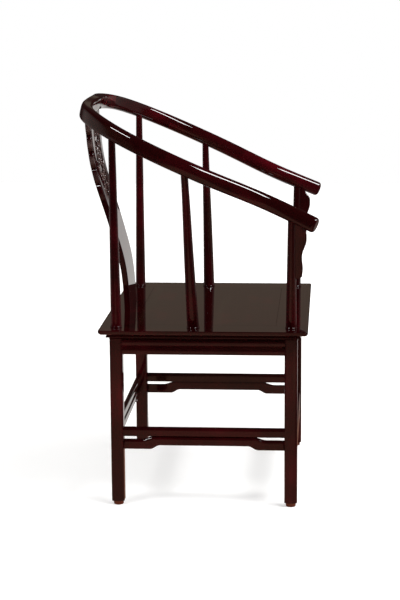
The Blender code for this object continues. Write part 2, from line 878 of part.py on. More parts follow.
def make_battens(rails):
    half_span = seat_depth / 2 - seat_rail_width - fit_gap
    top = seat_height - panel_thickness - fit_gap
    tenon_top = seat_height - panel_thickness - batten_tenon_thickness / 4
    tenon_foot = tenon_top - batten_tenon_thickness
    for side, hand in ((1, "left"), (-1, "right")):
        name = f"panel_batten_{hand}"
        rings = []
        middle = side * batten_spacing / 2
        body = (middle - batten_width / 2, middle + batten_width / 2, top - batten_thickness, top)
        stub = (middle - batten_width / 4, middle + batten_width / 4, tenon_foot, tenon_top)
        stops = ((-half_span - tenon_length, stub), (-half_span, stub), (-half_span, body))
        stops += ((half_span, body), (half_span, stub), (half_span + tenon_length, stub))
        for y, (left, right, foot, head) in stops:
            rings.append([(left, y, foot), (right, y, foot), (right, y, head), (left, y, head)])
        place(name, loft(name, rings), bare_hardwood())
        for sign, row in ((-1, "front"), (1, "back")):
            near, far = sign * (half_span - overrun / 2), sign * (half_span + tenon_length + mortise_gap)
            low = (stub[0] - mortise_gap, min(near, far), stub[2] - mortise_gap)
            high = (stub[1] + mortise_gap, max(near, far), stub[3] + mortise_gap)
            cut_name = f"cut_batten_{hand}_{row}"
            combine(rails[row], cutter_from(cut_name, box_mesh(cut_name, low, high)))


# Aprons and stretchers
def stretcher_top(row):
    return side_stretcher_top - (front_stretcher_drop if row == "front" else 0.0)


def stretcher_offset():
    """How far out from the legs' middles the stretchers stand, almost flush with the legs."""
    return (leg_side - stretcher_thickness) / 2 - stretcher_recess


def bar_layout():
    """Name, clear half length between the legs, middle and turn of the bars on each side of the chair."""
    cross = leg_x - leg_side / 2 - fit_gap
    side = (back_leg_y - front_leg_y - leg_side) / 2 - fit_gap
    middle_y = (back_leg_y + front_leg_y) / 2
    return (
        ("front", cross, (0, front_leg_y, 0), 0.0),
        ("back", cross, (0, back_leg_y, 0), math.pi),
        ("left", side, (leg_x, middle_y, 0), math.pi / 2),
        ("right", side, (-leg_x, middle_y, 0), -math.pi / 2),
    )


def with_tenons(rings_at, half_length, centre_z, height, count):
    """Adds a stub tenon of a set height to both ends of a stretcher made of rings along X."""
    outline = rounded_rectangle(tenon_thickness, height, tenon_thickness / 8, count // 4)
    tenon = [(y - stretcher_offset(), z) for y, z in outline]
    rings = []
    for x in (-half_length - tenon_length + mortise_gap, -half_length):
        rings.append([(x, y, centre_z + z) for y, z in tenon])
    rings.extend(rings_at)
    for x in (half_length, half_length + tenon_length - mortise_gap):
        rings.append([(x, y, centre_z + z) for y, z in tenon])
    return rings


def make_straight_stretcher(row, half_length, middle, turn):
    name = f"stretcher_{row}"
    centre_z = stretcher_top(row) - stretcher_height / 2
    outline = rounded_rectangle(stretcher_thickness, stretcher_height, stretcher_rounding, 4)
    rings = []
    for x in (-half_length, half_length):
        rings.append([(x, y - stretcher_offset(), centre_z + z) for y, z in outline])
    rings = with_tenons(rings, half_length, centre_z, stretcher_height * bar_tenon_share, len(outline))
    place(name, loft(name, rings), frame_lacquer(), middle, turn)


def ease(value, start, stop):
    share = min(1.0, max(0.0, (value - start) / (stop - start)))
    return share * share * (3 - 2 * share)


def make_hump_stretcher(row, half_length, middle, turn):
    """The lower bar, which steps up to lie against the straight one over the middle of its length."""
    name = f"hump_stretcher_{row}"
    straight_foot = stretcher_top(row) - stretcher_height
    end_top = straight_foot - hump_drop
    end_foot = end_top - stretcher_height
    shares = {1.0}
    for outer, inner in (hump_top_bend_shares, hump_foot_bend_shares):
        for step in range(hump_bend_rings + 1):
            shares.add(round(outer + (inner - outer) * step / hump_bend_rings, 4))
    stations = sorted(-share for share in shares) + sorted(shares)
    rings = []
    for station in stations:
        top_rise = hump_drop - fit_gap
        top = end_top + top_rise * ease(abs(station), *hump_top_bend_shares)
        foot = end_foot + hump_height * ease(abs(station), *hump_foot_bend_shares)
        outline = rounded_rectangle(stretcher_thickness, top - foot, stretcher_rounding, 3)
        middle_z = (top + foot) / 2
        rings.append([(station * half_length, y - stretcher_offset(), middle_z + z) for y, z in outline])
    centre_z = end_top - stretcher_height / 2
    rings = with_tenons(rings, half_length, centre_z, stretcher_height * bar_tenon_share, len(outline))
    place(name, loft(name, rings), frame_lacquer(), middle, turn)


def apron_profile():
    """Section of an apron as (distance out, height above its foot), with a bar, a groove and a bead."""
    half = apron_thickness / 2
    return [(half * out, apron_height * up) for out, up in apron_profile_shares]


def apron_tenon():
    """The apron's section drawn in to a rectangle, as shares of its half thickness and half height."""
    shares = []
    for out, up in apron_profile_shares:
        away = min(1.0, max(-1.0, 3 * out / 2))
        rise = min(1.0, max(-1.0, 3 * (up - 0.5)))
        shares.append((away, rise))
    return shares


def make_apron(row, half_length, middle, turn):
    name = f"apron_{row}"
    foot = seat_underside - fit_gap - apron_height
    outward = leg_side / 2 - apron_recess - apron_thickness / 2
    half_height = apron_height * apron_tenon_share / 2
    tip = half_length + tenon_length - mortise_gap

    def body(x):
        return [(x, -(outward + out), foot + up) for out, up in apron_profile()]

    def tenon(x):
        ring = []
        for away, rise in apron_tenon():
            ring.append((x, -away * tenon_thickness / 2, foot + apron_height / 2 + rise * half_height))
        return ring

    rings = [tenon(-tip), tenon(-half_length), body(-half_length)]
    rings += [body(half_length), tenon(half_length), tenon(tip)]
    place(name, loft(name, rings), frame_lacquer(), middle, turn, 30.0)


def make_bars():
    for row, half_length, middle, turn in bar_layout():
        make_straight_stretcher(row, half_length, middle, turn)
        make_hump_stretcher(row, half_length, middle, turn)
        make_apron(row, half_length, middle, turn)


# Feet
def make_pad(name, x, y):
    bore = nail_shank_radius + mortise_gap
    corner = pad_edge_radius * (1 - math.sqrt(0.5))
    profile = [
        (bore, nail_countersink_depth),
        (nail_countersink_radius, nail_countersink_depth),
        (nail_countersink_radius, 0.0),
        (pad_radius - pad_edge_radius, 0.0),
        (pad_radius - corner, corner),
        (pad_radius, pad_edge_radius),
        (pad_radius, pad_height),
        (bore, pad_height),
    ]
    rings = [circle_ring(0, 0, z, radius, pad_sides) for radius, z in profile]
    place(name, loft(name, rings, closed_loop=True), pad_plastic(), (x, y, 0))


def make_nail(name, x, y):
    head_foot = nail_countersink_depth - fit_gap - nail_head_height
    head_top = head_foot + nail_head_height
    tip = head_top + nail_length
    profile = [
        (nail_head_radius - nail_head_height / 2, head_foot),
        (nail_head_radius, head_foot + nail_head_height / 2),
        (nail_head_radius, head_top),
        (nail_shank_radius, head_top),
        (nail_shank_radius, tip - nail_point_length),
        (nail_shank_radius / 4, tip - fit_gap),
    ]
    rings = [circle_ring(0, 0, z, radius, nail_sides) for radius, z in profile]
    place(name, loft(name, rings), nail_steel(), (x, y, 0))


def make_feet():
    for side, hand in ((1, "left"), (-1, "right")):
        for back, row in ((False, "front"), (True, "rear")):
            make_pad(f"foot_pad_{row}_{hand}", side * leg_x, leg_y(back))
            make_nail(f"foot_nail_{row}_{hand}", side * leg_x, leg_y(back))


def make_chair():
    rails = make_rail()
    seat = make_seat_frame()
    make_panel()
    make_battens(seat)
    make_splat(rails["crest"], seat["back"])
    reach = splat_top_width / 2 + flange_widest + overrun
    crest_mesh = rail_sweep("cut_crest_underside", -reach, reach, fit_gap)
    crest_cutter = cutter_from("cut_crest_underside", crest_mesh)
    for side, hand in ((1, "left"), (-1, "right")):
        make_leg(f"front_leg_post_{hand}", side, False, rails[f"arm_{hand}"])
        make_leg(f"rear_leg_post_{hand}", side, True, rails[f"shoulder_{hand}"])
        make_side_post(f"side_post_{hand}", side, rails[f"arm_{hand}"])
        make_flange(f"splat_flange_{hand}", side, crest_cutter)
        name = f"cut_arm_underside_{hand}"
        end = rail_length()
        arm_mesh = rail_sweep(name, side * (end - 4 * overrun), side * (end + overrun), fit_gap)
        make_bracket(f"arm_bracket_{hand}", side, cutter_from(name, arm_mesh))
    make_bars()
    make_feet()


clear_scene()
chair = bpy.data.objects.new("chair", None)
bpy.context.scene.collection.objects.link(chair)
chair.location = (0, seat_centre_setback, 0)
make_chair()
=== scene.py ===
from math import ceil, copysign, cos, pi, radians, sin, sqrt

import bmesh
import bpy
import numpy as np
from mathutils import Matrix, Quaternion, Vector


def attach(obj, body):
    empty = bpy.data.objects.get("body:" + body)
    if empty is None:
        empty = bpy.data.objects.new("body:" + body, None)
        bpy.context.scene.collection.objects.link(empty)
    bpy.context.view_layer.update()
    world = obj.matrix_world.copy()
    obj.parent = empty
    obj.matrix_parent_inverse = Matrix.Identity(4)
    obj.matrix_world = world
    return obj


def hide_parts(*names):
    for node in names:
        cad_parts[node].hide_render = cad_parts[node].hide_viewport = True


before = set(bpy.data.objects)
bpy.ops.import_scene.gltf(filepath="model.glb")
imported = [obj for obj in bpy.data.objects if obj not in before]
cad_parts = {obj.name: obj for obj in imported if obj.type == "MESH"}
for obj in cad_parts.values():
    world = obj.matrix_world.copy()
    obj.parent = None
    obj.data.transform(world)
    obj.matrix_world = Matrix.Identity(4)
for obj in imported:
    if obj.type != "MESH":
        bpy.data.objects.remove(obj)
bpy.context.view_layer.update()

print("frame loaded:", len(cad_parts), "nodes")

hands = (("left", 1), ("right", -1))
seatTop = 0.440
setback = -0.0172  # rail, splat, side posts and seat all stand this far off the frame's middle


def deselectAll():
    bpy.ops.object.select_all(action="DESELECT")


def onlyThis(piece):
    deselectAll()
    piece.select_set(True)
    bpy.context.view_layer.objects.active = piece


def tidyMesh(piece, merge=0.00002):  # one closed skin, faces outwards
    onlyThis(piece)
    bpy.ops.object.mode_set(mode="EDIT")
    bpy.ops.mesh.select_all(action="SELECT")
    bpy.ops.mesh.remove_doubles(threshold=merge)
    bpy.ops.mesh.normals_make_consistent(inside=False)
    bpy.ops.object.mode_set(mode="OBJECT")


def finishPiece(piece, nodes, material, angle=35):
    onlyThis(piece)
    bpy.ops.object.shade_smooth_by_angle(angle=radians(angle))
    flat = piece.modifiers.new("flat", "WEIGHTED_NORMAL")  # flat faces stay flat beside rounded edges
    flat.keep_sharp = True
    flat.weight = 100
    bpy.ops.object.modifier_apply(modifier=flat.name)
    piece.data.materials.clear()
    piece.data.materials.append(material)
    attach(piece, "root")
    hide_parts(*nodes)


def splineThrough(knots, places):  # natural cubic through (place, value...) rows
    table = np.array(knots, float)
    at, values = table[:, 0], table[:, 1:]
    count, step = len(at), np.diff(at)
    system = np.eye(count)
    bends = np.zeros_like(values)
    for i in range(1, count - 1):
        system[i, i - 1 : i + 2] = step[i - 1], 2 * (step[i - 1] + step[i]), step[i]
        bends[i] = 6 * ((values[i + 1] - values[i]) / step[i] - (values[i] - values[i - 1]) / step[i - 1])
    bends = np.linalg.solve(system, bends)
    found = []
    for place in places:
        i = int(np.clip(np.searchsorted(at, place) - 1, 0, count - 2))
        left, right, span = at[i + 1] - place, place - at[i], step[i]
        curved = (bends[i] * left**3 + bends[i + 1] * right**3) / (6 * span)
        straight = (values[i] / span - bends[i] * span / 6) * left
        straight = straight + (values[i + 1] / span - bends[i + 1] * span / 6) * right
        found.append(curved + straight)
    return found


def extrudeThrough(name, rings):  # a filled circle, extruded from ring to ring
    deselectAll()
    bpy.ops.mesh.primitive_circle_add(vertices=len(rings[0]), radius=0.01, fill_type="NGON")
    piece = bpy.context.object
    piece.name = name
    for vertex, point in zip(piece.data.vertices, rings[0]):
        vertex.co = point
    bpy.ops.object.mode_set(mode="EDIT")
    bpy.ops.mesh.select_mode(type="FACE")
    bpy.ops.mesh.select_all(action="SELECT")
    for last, ring in zip(np.array(rings), rings[1:]):
        bpy.ops.mesh.extrude_region_move()
        shape = bmesh.from_edit_mesh(piece.data)
        for vertex in [v for v in shape.verts if v.select]:
            nearest = np.argmin(((last - np.array(vertex.co)) ** 2).sum(axis=1))
            vertex.co = ring[nearest]
    bpy.ops.mesh.select_all(action="SELECT")
    bpy.ops.mesh.normals_make_consistent(inside=False)
    bpy.ops.object.mode_set(mode="OBJECT")
    return piece


def drawnCurve(name, places):
    deselectAll()
    bpy.ops.curve.primitive_bezier_curve_add()
    piece = bpy.context.object
    piece.name = name
    piece.data.splines.clear()
    line = piece.data.splines.new("POLY")
    line.points.add(len(places) - 1)
    for point, place in zip(line.points, places):
        point.co = (*place, 1)
    return piece, piece.data, line


def cutBoard(name, outline, halfThickness, edge=0.0, steps=3):  # an outline in XY, sawn out, edges rounded
    board, curve, line = drawnCurve(name, [(x, y, 0) for x, y in outline])
    line.use_cyclic_u = True
    curve.dimensions = "2D"
    curve.fill_mode = "BOTH"
    curve.extrude = halfThickness - edge
    curve.bevel_depth = edge
    curve.bevel_resolution = steps
    curve.offset = -edge
    bpy.ops.object.convert(target="MESH")
    tidyMesh(board)
    return board


def remap(piece, place):  # moves every point of a mesh by a rule
    for vertex in piece.data.vertices:
        vertex.co = place(*vertex.co)
    tidyMesh(piece)


def easeBetween(value, start, stop):
    share = min(1.0, max(0.0, (value - start) / (stop - start)))
    return share * share * (3 - 2 * share)


def between(first, last, share):
    return first + (last - first) * share


def around(x, y, radius, angle):
    return x + radius * cos(angle), y + radius * sin(angle)


def rolled(aside, rise, turn):  # two axes turned about the third
    c, s = cos(turn), sin(turn)
    return aside * c + rise * s, rise * c - aside * s


def shares(steps):  # from nothing to the whole
    return [step / steps for step in range(steps + 1)]


def arc(steps, turn=pi / 2):  # angles from nothing to the turn
    return [turn * step / steps for step in range(steps + 1)]


def allRound(count):
    return [2 * pi * (step + 0.5) / count for step in range(count)]


def softSquare(angle, power):  # cosine, sine, and how far a rounded square reaches that way
    c, s = cos(angle), sin(angle)
    return c, s, (abs(c) ** power + abs(s) ** power) ** (-1 / power)


def mirrored(rings, side):
    return [[Vector((side * point.x, point.y, point.z)) for point in ring] for ring in rings]


def roundedSection(width, height, radius, steps):
    points = []
    for corner, (sideX, sideY) in enumerate(((1, 1), (-1, 1), (-1, -1), (1, -1))):
        centreX = sideX * (width / 2 - radius)
        centreY = sideY * (height / 2 - radius)
        for step in range(steps):
            angle = pi / 2 * (corner + (step + 0.5) / steps)
            points.append(around(centreX, centreY, radius, angle))
    return points


def levelCircle(x, y, z, radius, count):
    return [Vector((*around(x, y, radius, angle), z)) for angle in allRound(count)]


def newMaterial(name):
    material = bpy.data.materials.new(name)
    material.use_nodes = True
    tree = material.node_tree
    return material, tree, tree.nodes["Principled BSDF"]


def feed(tree, node, sockets):  # each socket takes a value, or a link from another node
    for key, value in sockets.items():
        if isinstance(value, bpy.types.NodeSocket):
            tree.links.new(value, node.inputs[key])
        else:
            node.inputs[key].default_value = value


def addNode(tree, kind, sockets=None, **settings):
    node = tree.nodes.new(kind)
    for key, value in settings.items():
        setattr(node, key, value)
    feed(tree, node, sockets or {})
    return node


def calculate(tree, operation, *values):
    return addNode(tree, "ShaderNodeMath", dict(enumerate(values)), operation=operation).outputs["Value"]


def fadeOver(tree, value, start, stop, low=0.0, high=1.0, ease="SMOOTHSTEP"):
    sockets = {"Value": value, "From Min": start, "From Max": stop, "To Min": low, "To Max": high}
    return addNode(tree, "ShaderNodeMapRange", sockets, interpolation_type=ease).outputs["Result"]


def mixTones(tree, share, first, second):
    sockets = {"Factor": share, 6: first, 7: second}
    return addNode(tree, "ShaderNodeMix", sockets, data_type="RGBA").outputs[2]


def toneRamp(tree, value, *marks):  # (position, tone) pairs in rising order
    node = addNode(tree, "ShaderNodeValToRGB", {"Fac": value})
    elements = node.color_ramp.elements
    for element, (position, tone) in ((elements[0], marks[0]), (elements[1], marks[-1])):
        element.position = position
        element.color = tone
    for position, tone in marks[1:-1]:
        elements.new(position).color = tone
    return node.outputs["Color"]


def noise(tree, vector, scale, detail, **more):
    sockets = {"Vector": vector, "Scale": scale, "Detail": detail, **more}
    return addNode(tree, "ShaderNodeTexNoise", sockets).outputs["Fac"]


def bumpOf(tree, height, strength, distance):
    sockets = {"Height": height, "Strength": strength, "Distance": distance}
    return addNode(tree, "ShaderNodeBump", sockets).outputs["Normal"]


def grainMapping(tree, along, stretch):  # grain space: X runs along the wood
    place = addNode(tree, "ShaderNodeTexCoord").outputs["Object"]
    turn = {"Vector": place, "Rotation": Vector(along).to_track_quat("X", "Z").to_euler()}
    turned = addNode(tree, "ShaderNodeMapping", turn, vector_type="TEXTURE").outputs["Vector"]
    squeeze = {"Vector": turned, "Scale": (1.0 / stretch, 1.0, 1.0)}
    return addNode(tree, "ShaderNodeMapping", squeeze).outputs["Vector"], turned


lacquer = {
    "dark": (0.0090, 0.0004, 0.0006, 1),
    "middle": (0.0200, 0.0007, 0.0014, 1),
    "bright": (0.0560, 0.0014, 0.0038, 1),
    "umber": (0.0125, 0.0050, 0.0030, 1),
    "pore": (0.0050, 0.0003, 0.0005, 1),
    "wornAndSheen": (0.1500, 0.1050, 0.0950, 1),
    "marks": {"dark": 0.60, "middle": 0.74, "bright": 0.92},
    "redShift": 0.28,
    "stretch": 16.0,
    "driftScale": 7.0,
    "driftShare": 0.68,
    "figureScale": 30.0,
    "patchScale": 24.0,
    "patchFade": (0.54, 0.70, 0.0, 0.60),
    "poreScale": 420.0,
    "poreFade": (0.62, 0.78),
    "scuffScale": 240.0,
    "rough": (0.02, 0.06),
    "peelScale": 55.0,
    "peel": (0.05, 0.0006),
    "film": {"IOR": 1.5, "Coat Weight": 0.35, "Coat Roughness": 0.03},
}


def makeLacquer(name, along, redness, wornAndSheen=False):
    material, tree, shader = newMaterial(name)
    grain, turned = grainMapping(tree, along, lacquer["stretch"])
    drift = noise(tree, turned, lacquer["driftScale"], 2.0)  # slow drift of tone
    figure = noise(tree, grain, lacquer["figureScale"], 3.0, Roughness=0.45, Distortion=0.5)
    both = {"Factor": lacquer["driftShare"], "A": figure, "B": drift}
    blend = addNode(tree, "ShaderNodeMix", both, data_type="FLOAT").outputs[0]
    shift = lacquer["redShift"] * redness
    marks = [(place - shift, lacquer[tone]) for tone, place in lacquer["marks"].items()]
    colour = toneRamp(tree, blend, *marks)
    patches = noise(tree, grain, lacquer["patchScale"], 2.0)  # brown heartwood showing through
    colour = mixTones(tree, fadeOver(tree, patches, *lacquer["patchFade"]), colour, lacquer["umber"])
    pores = noise(tree, grain, lacquer["poreScale"], 3.0, Roughness=0.55)
    poreMask = fadeOver(tree, pores, *lacquer["poreFade"], ease="LINEAR")
    colour = mixTones(tree, poreMask, colour, lacquer["pore"])
    # pale marks: worn lacquer, and a painted highlight on the raised carving and the flange lobes
    if wornAndSheen:
        wornAndSheenShare = addNode(tree, "ShaderNodeAttribute", attribute_name="wornAndSheen").outputs["Fac"]
        patchy = calculate(tree, "MULTIPLY", wornAndSheenShare, noise(tree, turned, lacquer["scuffScale"], 3.0))
        colour = mixTones(tree, patchy, colour, lacquer["wornAndSheen"])
    peel = noise(tree, turned, lacquer["peelScale"], 2.0)  # sprayed film, not a mirror
    feed(tree, shader, {
        "Base Color": colour,
        "Roughness": fadeOver(tree, drift, 0.0, 1.0, *lacquer["rough"], ease="LINEAR"),
        "Normal": bumpOf(tree, peel, *lacquer["peel"]),
        **lacquer["film"],
    })
    return material


bareWood = {
    "stretch": 14.0,
    "noise": {"Scale": 70.0, "Detail": 6.0, "Roughness": 0.6, "Distortion": 0.5},
    "dark": (0.32, (0.085, 0.032, 0.018, 1)),
    "bright": (0.68, (0.23, 0.098, 0.055, 1)),
    "bump": (0.35, 0.0004),
    "surface": {"Roughness": 0.62},
}
padLook = {
    "noise": {"Scale": 900.0, "Detail": 3.0},
    "dark": (0.0, (0.066, 0.0105, 0.0026, 1)),
    "bright": (1.0, (0.130, 0.0240, 0.0060, 1)),
    "bump": (0.3, 0.0002),
    "surface": {"Roughness": 0.48, "Specular IOR Level": 0.2},
}
steelLook = {
    "noise": {"Scale": 1500.0, "Detail": 2.0},
    "dark": (0.0, (0.38, 0.38, 0.39, 1)),
    "bright": (1.0, (0.62, 0.61, 0.60, 1)),
    "surface": {"Metallic": 1.0, "Roughness": 0.34},
}


def makeTwoTone(name, look, along=None):  # bare wood has a grain, plastic and steel are only speckled
    material, tree, shader = newMaterial(name)
    if along:
        place = grainMapping(tree, along, look["stretch"])[0]
    else:
        place = addNode(tree, "ShaderNodeTexCoord").outputs["Object"]
    figure = addNode(tree, "ShaderNodeTexNoise", {"Vector": place, **look["noise"]}).outputs["Fac"]
    tone = toneRamp(tree, figure, look["dark"], look["bright"])
    feed(tree, shader, {"Base Color": tone, **look["surface"]})
    if "bump" in look:
        feed(tree, shader, {"Normal": bumpOf(tree, figure, *look["bump"])})
    return material


uprightLacquer = makeLacquer("uprightLacquer", (0, 0.02, 1), 0.55)
splatLacquer = makeLacquer("splatLacquer", (0.01, 0.1, 1), 0.36, wornAndSheen=True)
acrossLacquer = makeLacquer("acrossLacquer", (1, 0, 0), 0.42)
sideLacquer = makeLacquer("sideLacquer", (0, 1, 0), 0.52)
seatAcrossLacquer = makeLacquer("seatAcrossLacquer", (1, 0, 0.01), 0.22)
seatSideLacquer = makeLacquer("seatSideLacquer", (0.01, 1, 0), 0.30)
print("materials made")


rail = {
    "knots": (
        (0.0, 0.2895, 0.9545),
        (0.1320, 0.2935, 0.9492),
        (0.2485, 0.2631, 0.9352),
        (0.3280, 0.1861, 0.8998),
        (0.3580, 0.0803, 0.8515),
        (0.3488, -0.0315, 0.8010),
        (0.3165, -0.1414, 0.7515),
        (0.3412, -0.2678, 0.6950),
    ),
    "armHalves": (0.0154, 0.0186),
    "backHalves": (0.0132, 0.0185),
    "armRoundness": 2.25,
    "backRoundness": 5.2,
    "roll": radians(17.5),
    "fade": 0.6,
    "spacing": 0.009,
    "sides": 40,
    "nudge": 0.0006,
    "tipSoft": 0.0075,
    "tipShrink": 0.30,
    "scarfs": (0.215, 0.525),
    "lap": 0.030,
    "spare": 0.008,
    "toolReach": 0.03,
    "gap": 0.00006,
    "shoulderGrain": (0.62, -0.72, -0.30),
    "armGrain": (0.02, -0.91, -0.41),
    "shoulderRedness": {"left": 0.40, "right": 0.40},
    # the far (left) arm is painted redder and brighter than the near (right) arm: painted light and shade between
    # the two sides
    "armRedness": {"left": 0.88, "right": 0.32},
}


def railTable():
    right = [Vector((x, y + setback, z)) for x, y, z in rail["knots"]]
    line = mirrored([right[:0:-1]], -1)[0] + right
    lengths = [0.0]
    for before, after in zip(line, line[1:]):
        lengths.append(lengths[-1] + (after - before).length)
    middle = lengths[len(line) // 2]
    return [(length - middle, *point) for length, point in zip(lengths, line)]


railRows = railTable()
railEnd = railRows[-1][0]


def railCentre(distance):
    return Vector(splineThrough(railRows, [distance])[0])


def railAxes(distance):
    along = (railCentre(distance + rail["nudge"]) - railCentre(distance - rail["nudge"])).normalized()
    outward = Vector((0, 0, 1)).cross(along).normalized()
    up = along.cross(outward).normalized()
    if up.z < 0:
        up = -up
    return railCentre(distance), along, outward, up


def railRing(distance, shrink=1.0):
    fade = easeBetween(abs(distance) / railEnd, rail["fade"], 0.0)
    wide, high = (between(*pair, fade) for pair in zip(rail["armHalves"], rail["backHalves"]))
    bounded = max(-railEnd, min(railEnd, distance))
    centre, along, outward, up = railAxes(bounded)
    centre = centre + along * (distance - bounded)
    power = between(rail["armRoundness"], rail["backRoundness"], fade)
    out, rise = rolled(outward, up, rail["roll"] * fade)
    ring = []
    for angle in allRound(rail["sides"]):
        c, s, reach = softSquare(angle, power)
        ring.append(centre + out * (wide * reach * c * shrink) + rise * (high * reach * s * shrink))
    return ring


def railSpan(name, start, stop, roundedTip=False):
    count = max(3, ceil(abs(stop - start) / rail["spacing"]))
    places = [between(start, stop, share) for share in shares(count)]
    if not roundedTip:
        return extrudeThrough(name, [railRing(place) for place in places])
    side, soft = copysign(1, stop), rail["tipSoft"]
    rings = [railRing(place) for place in places if abs(place) < abs(stop) - 2 * soft]
    for turn in arc(8):
        shrink = 1 - rail["tipShrink"] * (1 - cos(turn))
        rings.append(railRing(stop - side * soft * (1 - sin(turn)), shrink))
    return extrudeThrough(name, rings)


def scarfTool(distance, side, keepsBack):  # stepped block that takes away one half of the lap
    centre, along, outward, up = railAxes(side * distance)
    along = along * side
    lap, far, gap = rail["lap"], rail["lap"] + rail["toolReach"], 0.0 if keepsBack else rail["gap"]
    outline = [(gap - lap, -far), (gap - lap, -gap), (lap + gap, -gap), (lap + gap, far)]
    outline += [(far, far), (far, -far)] if keepsBack else [(-far, far), (-far, -far)]
    sides = (outward * -rail["toolReach"], outward * rail["toolReach"])
    rings = [[centre + along * x + up * z + aside for x, z in outline] for aside in sides]
    return extrudeThrough("scarfTool", rings)


def carveWith(piece, tool):
    onlyThis(piece)
    cut = piece.modifiers.new("cut", "BOOLEAN")
    cut.object = tool
    cut.solver = "EXACT"
    bpy.ops.object.modifier_apply(modifier=cut.name)
    bpy.data.objects.remove(tool, do_unlink=True)


def makeRail():
    rear, arm = (railEnd * share for share in rail["scarfs"])
    reach = rail["lap"] + rail["spare"]
    crest = railSpan("crestRail", -rear - reach, rear + reach)
    for hand, side in hands:
        shoulder = railSpan(f"shoulderRail.{hand}", side * (rear - reach), side * (arm + reach))
        tip = railSpan(f"armRail.{hand}", side * (arm - reach), side * railEnd, True)
        for distance, backPiece, frontPiece in ((rear, crest, shoulder), (arm, shoulder, tip)):
            carveWith(backPiece, scarfTool(distance, side, True))
            carveWith(frontPiece, scarfTool(distance, side, False))
        for part, piece in (("shoulder", shoulder), ("arm", tip)):
            # each hand gets its own lacquer; on the arms the two copies differ as painted light and shade
            grain = Vector((side, 1, 1)) * Vector(rail[f"{part}Grain"])
            wood = makeLacquer(f"{part}Lacquer.{hand}", grain, rail[f"{part}Redness"][hand])
            finishPiece(piece, [f"{part}_rail_{hand}"], wood)
    finishPiece(crest, ["crest_rail"], acrossLacquer)


makeRail()
print("horseshoe rail made")


leg = {
    "x": 0.2819,
    "side": 0.0310,
    "corner": 0.0052,
    "cornerSteps": 8,
    "foot": 0.0103,
    "footEase": ((0.0, 0.0009), (0.0004, 0.0003), (0.0012, 0.0)),
    "underSeat": 0.4157,
    "postRadius": 0.0130,
    "postRings": 12,
}
legRows = {
    "front": {"y": -0.2263, "topRadius": 0.0088, "lean": -0.0015, "inset": 0.0},
    "rear": {"y": 0.1933, "topRadius": 0.0080, "lean": 0.0010, "inset": 0.0050},
}
collar = {"height": 0.0036, "swell": 0.0011}


def railAtY(y):
    low, high = railEnd * rail["scarfs"][0] * 0.9, railEnd
    for _ in range(36):
        middle = (low + high) / 2
        low, high = (middle, high) if railCentre(middle).y > y else (low, middle)
    return railCentre(low)


def collarRings(x, y, radius, count):  # the thin raised ring where a post leaves the seat
    rings = []
    for turn in arc(8, pi):
        z = seatTop + collar["height"] * (1 - cos(turn)) / 2
        rings.append(levelCircle(x, y, z, radius + collar["swell"] * sin(turn) ** 0.7, count))
    return rings


def makeLegPost(hand, side, row):
    y, topRadius, lean, inset = legRows[row].values()
    top = railAtY(y + lean)
    top.x -= inset
    steps = leg["cornerSteps"]
    rings, count = [], 4 * steps
    for height, drawnIn in (*leg["footEase"], (leg["underSeat"] - leg["foot"], 0.0)):
        width = leg["side"] - 2 * drawnIn
        outline = roundedSection(width, width, leg["corner"], steps)
        rings.append([Vector((leg["x"] + u, y + v, leg["foot"] + height)) for u, v in outline])
    rings.append(levelCircle(leg["x"], y, leg["underSeat"], leg["postRadius"], count))
    rings.extend(collarRings(leg["x"], y, leg["postRadius"], count))
    start = seatTop + collar["height"]
    foot = Vector((leg["x"], y, seatTop))
    for share in shares(leg["postRings"])[1:]:
        z = between(start, top.z, share)
        along = (z - seatTop) / (top.z - seatTop)
        point = foot.lerp(top, along)
        radius = between(leg["postRadius"], topRadius, along)
        rings.append(levelCircle(point.x, point.y, z, radius, count))
    piece = extrudeThrough(f"{row}LegPost.{hand}", mirrored(rings, side))
    finishPiece(piece, [f"{row}_leg_post_{hand}"], uprightLacquer)


sidePost = {
    "baseX": 0.2830,
    "baseY": 0.0251,
    "topY": 0.0381,
    "baseRadius": 0.0145,
    "topRadius": 0.0080,
    "bend": ((0.0, 0.0), (0.20, 0.24), (0.42, 0.475), (0.62, 0.61), (0.82, 0.75), (1.0, 1.0)),
    "plug": 0.004,
    "rings": 28,
    "sides": 32,
}


def makeSidePost(hand, side):
    baseY, topY = sidePost["baseY"] + setback, sidePost["topY"] + setback
    top = railAtY(topY)
    count = sidePost["sides"]
    baseX, baseRadius, plug = sidePost["baseX"], sidePost["baseRadius"], sidePost["plug"]
    table = []
    for share, bend in sidePost["bend"]:
        table.append((between(seatTop, top.z, share), between(baseX, top.x, bend), between(baseY, topY, share)))
    rings = [levelCircle(baseX, baseY, seatTop - plug, baseRadius - plug, count)]
    rings.extend(collarRings(baseX, baseY, baseRadius, count))
    start = seatTop + collar["height"]
    for share in shares(sidePost["rings"])[1:]:
        z = between(start, top.z, share)
        x, y = splineThrough(table, [z])[0]
        radius = between(baseRadius, sidePost["topRadius"], (z - seatTop) / (top.z - seatTop))
        rings.append(levelCircle(x, y, z, radius, count))
    piece = extrudeThrough(f"sidePost.{hand}", mirrored(rings, side))
    finishPiece(piece, [f"side_post_{hand}"], uprightLacquer)


for hand, side in hands:
    for row in legRows:
        makeLegPost(hand, side, row)
    makeSidePost(hand, side)
print("legs and posts made")


splat = {
    "bottomWidth": 0.142,
    "topWidth": 0.176,
    "thickness": 0.0150,
    "edge": 0.0022,
    "baseY": 0.2070,
    "topY": 0.2985,
    "topZ": 0.9427,
    "bend": ((0, 0), (0.125, 0.035), (0.25, 0.125), (0.375, 0.30), (0.50, 0.50), (0.625, 0.715), (0.75, 0.875),
             (0.875, 0.953), (1, 1)),
    "levels": 72,
    "edgeSteps": 5,
    "nudge": 0.005,
}


def boardPoint(share):
    bend = splineThrough(splat["bend"], [share])[0][0]
    y = between(splat["baseY"], splat["topY"], bend) + setback
    return Vector((0, y, between(seatTop, splat["topZ"], share)))


boardHeight = splat["topZ"] - seatTop


def boardAlong(share):
    above, below = min(1, share + splat["nudge"]), max(0, share - splat["nudge"])
    return (boardPoint(above) - boardPoint(below)).normalized()


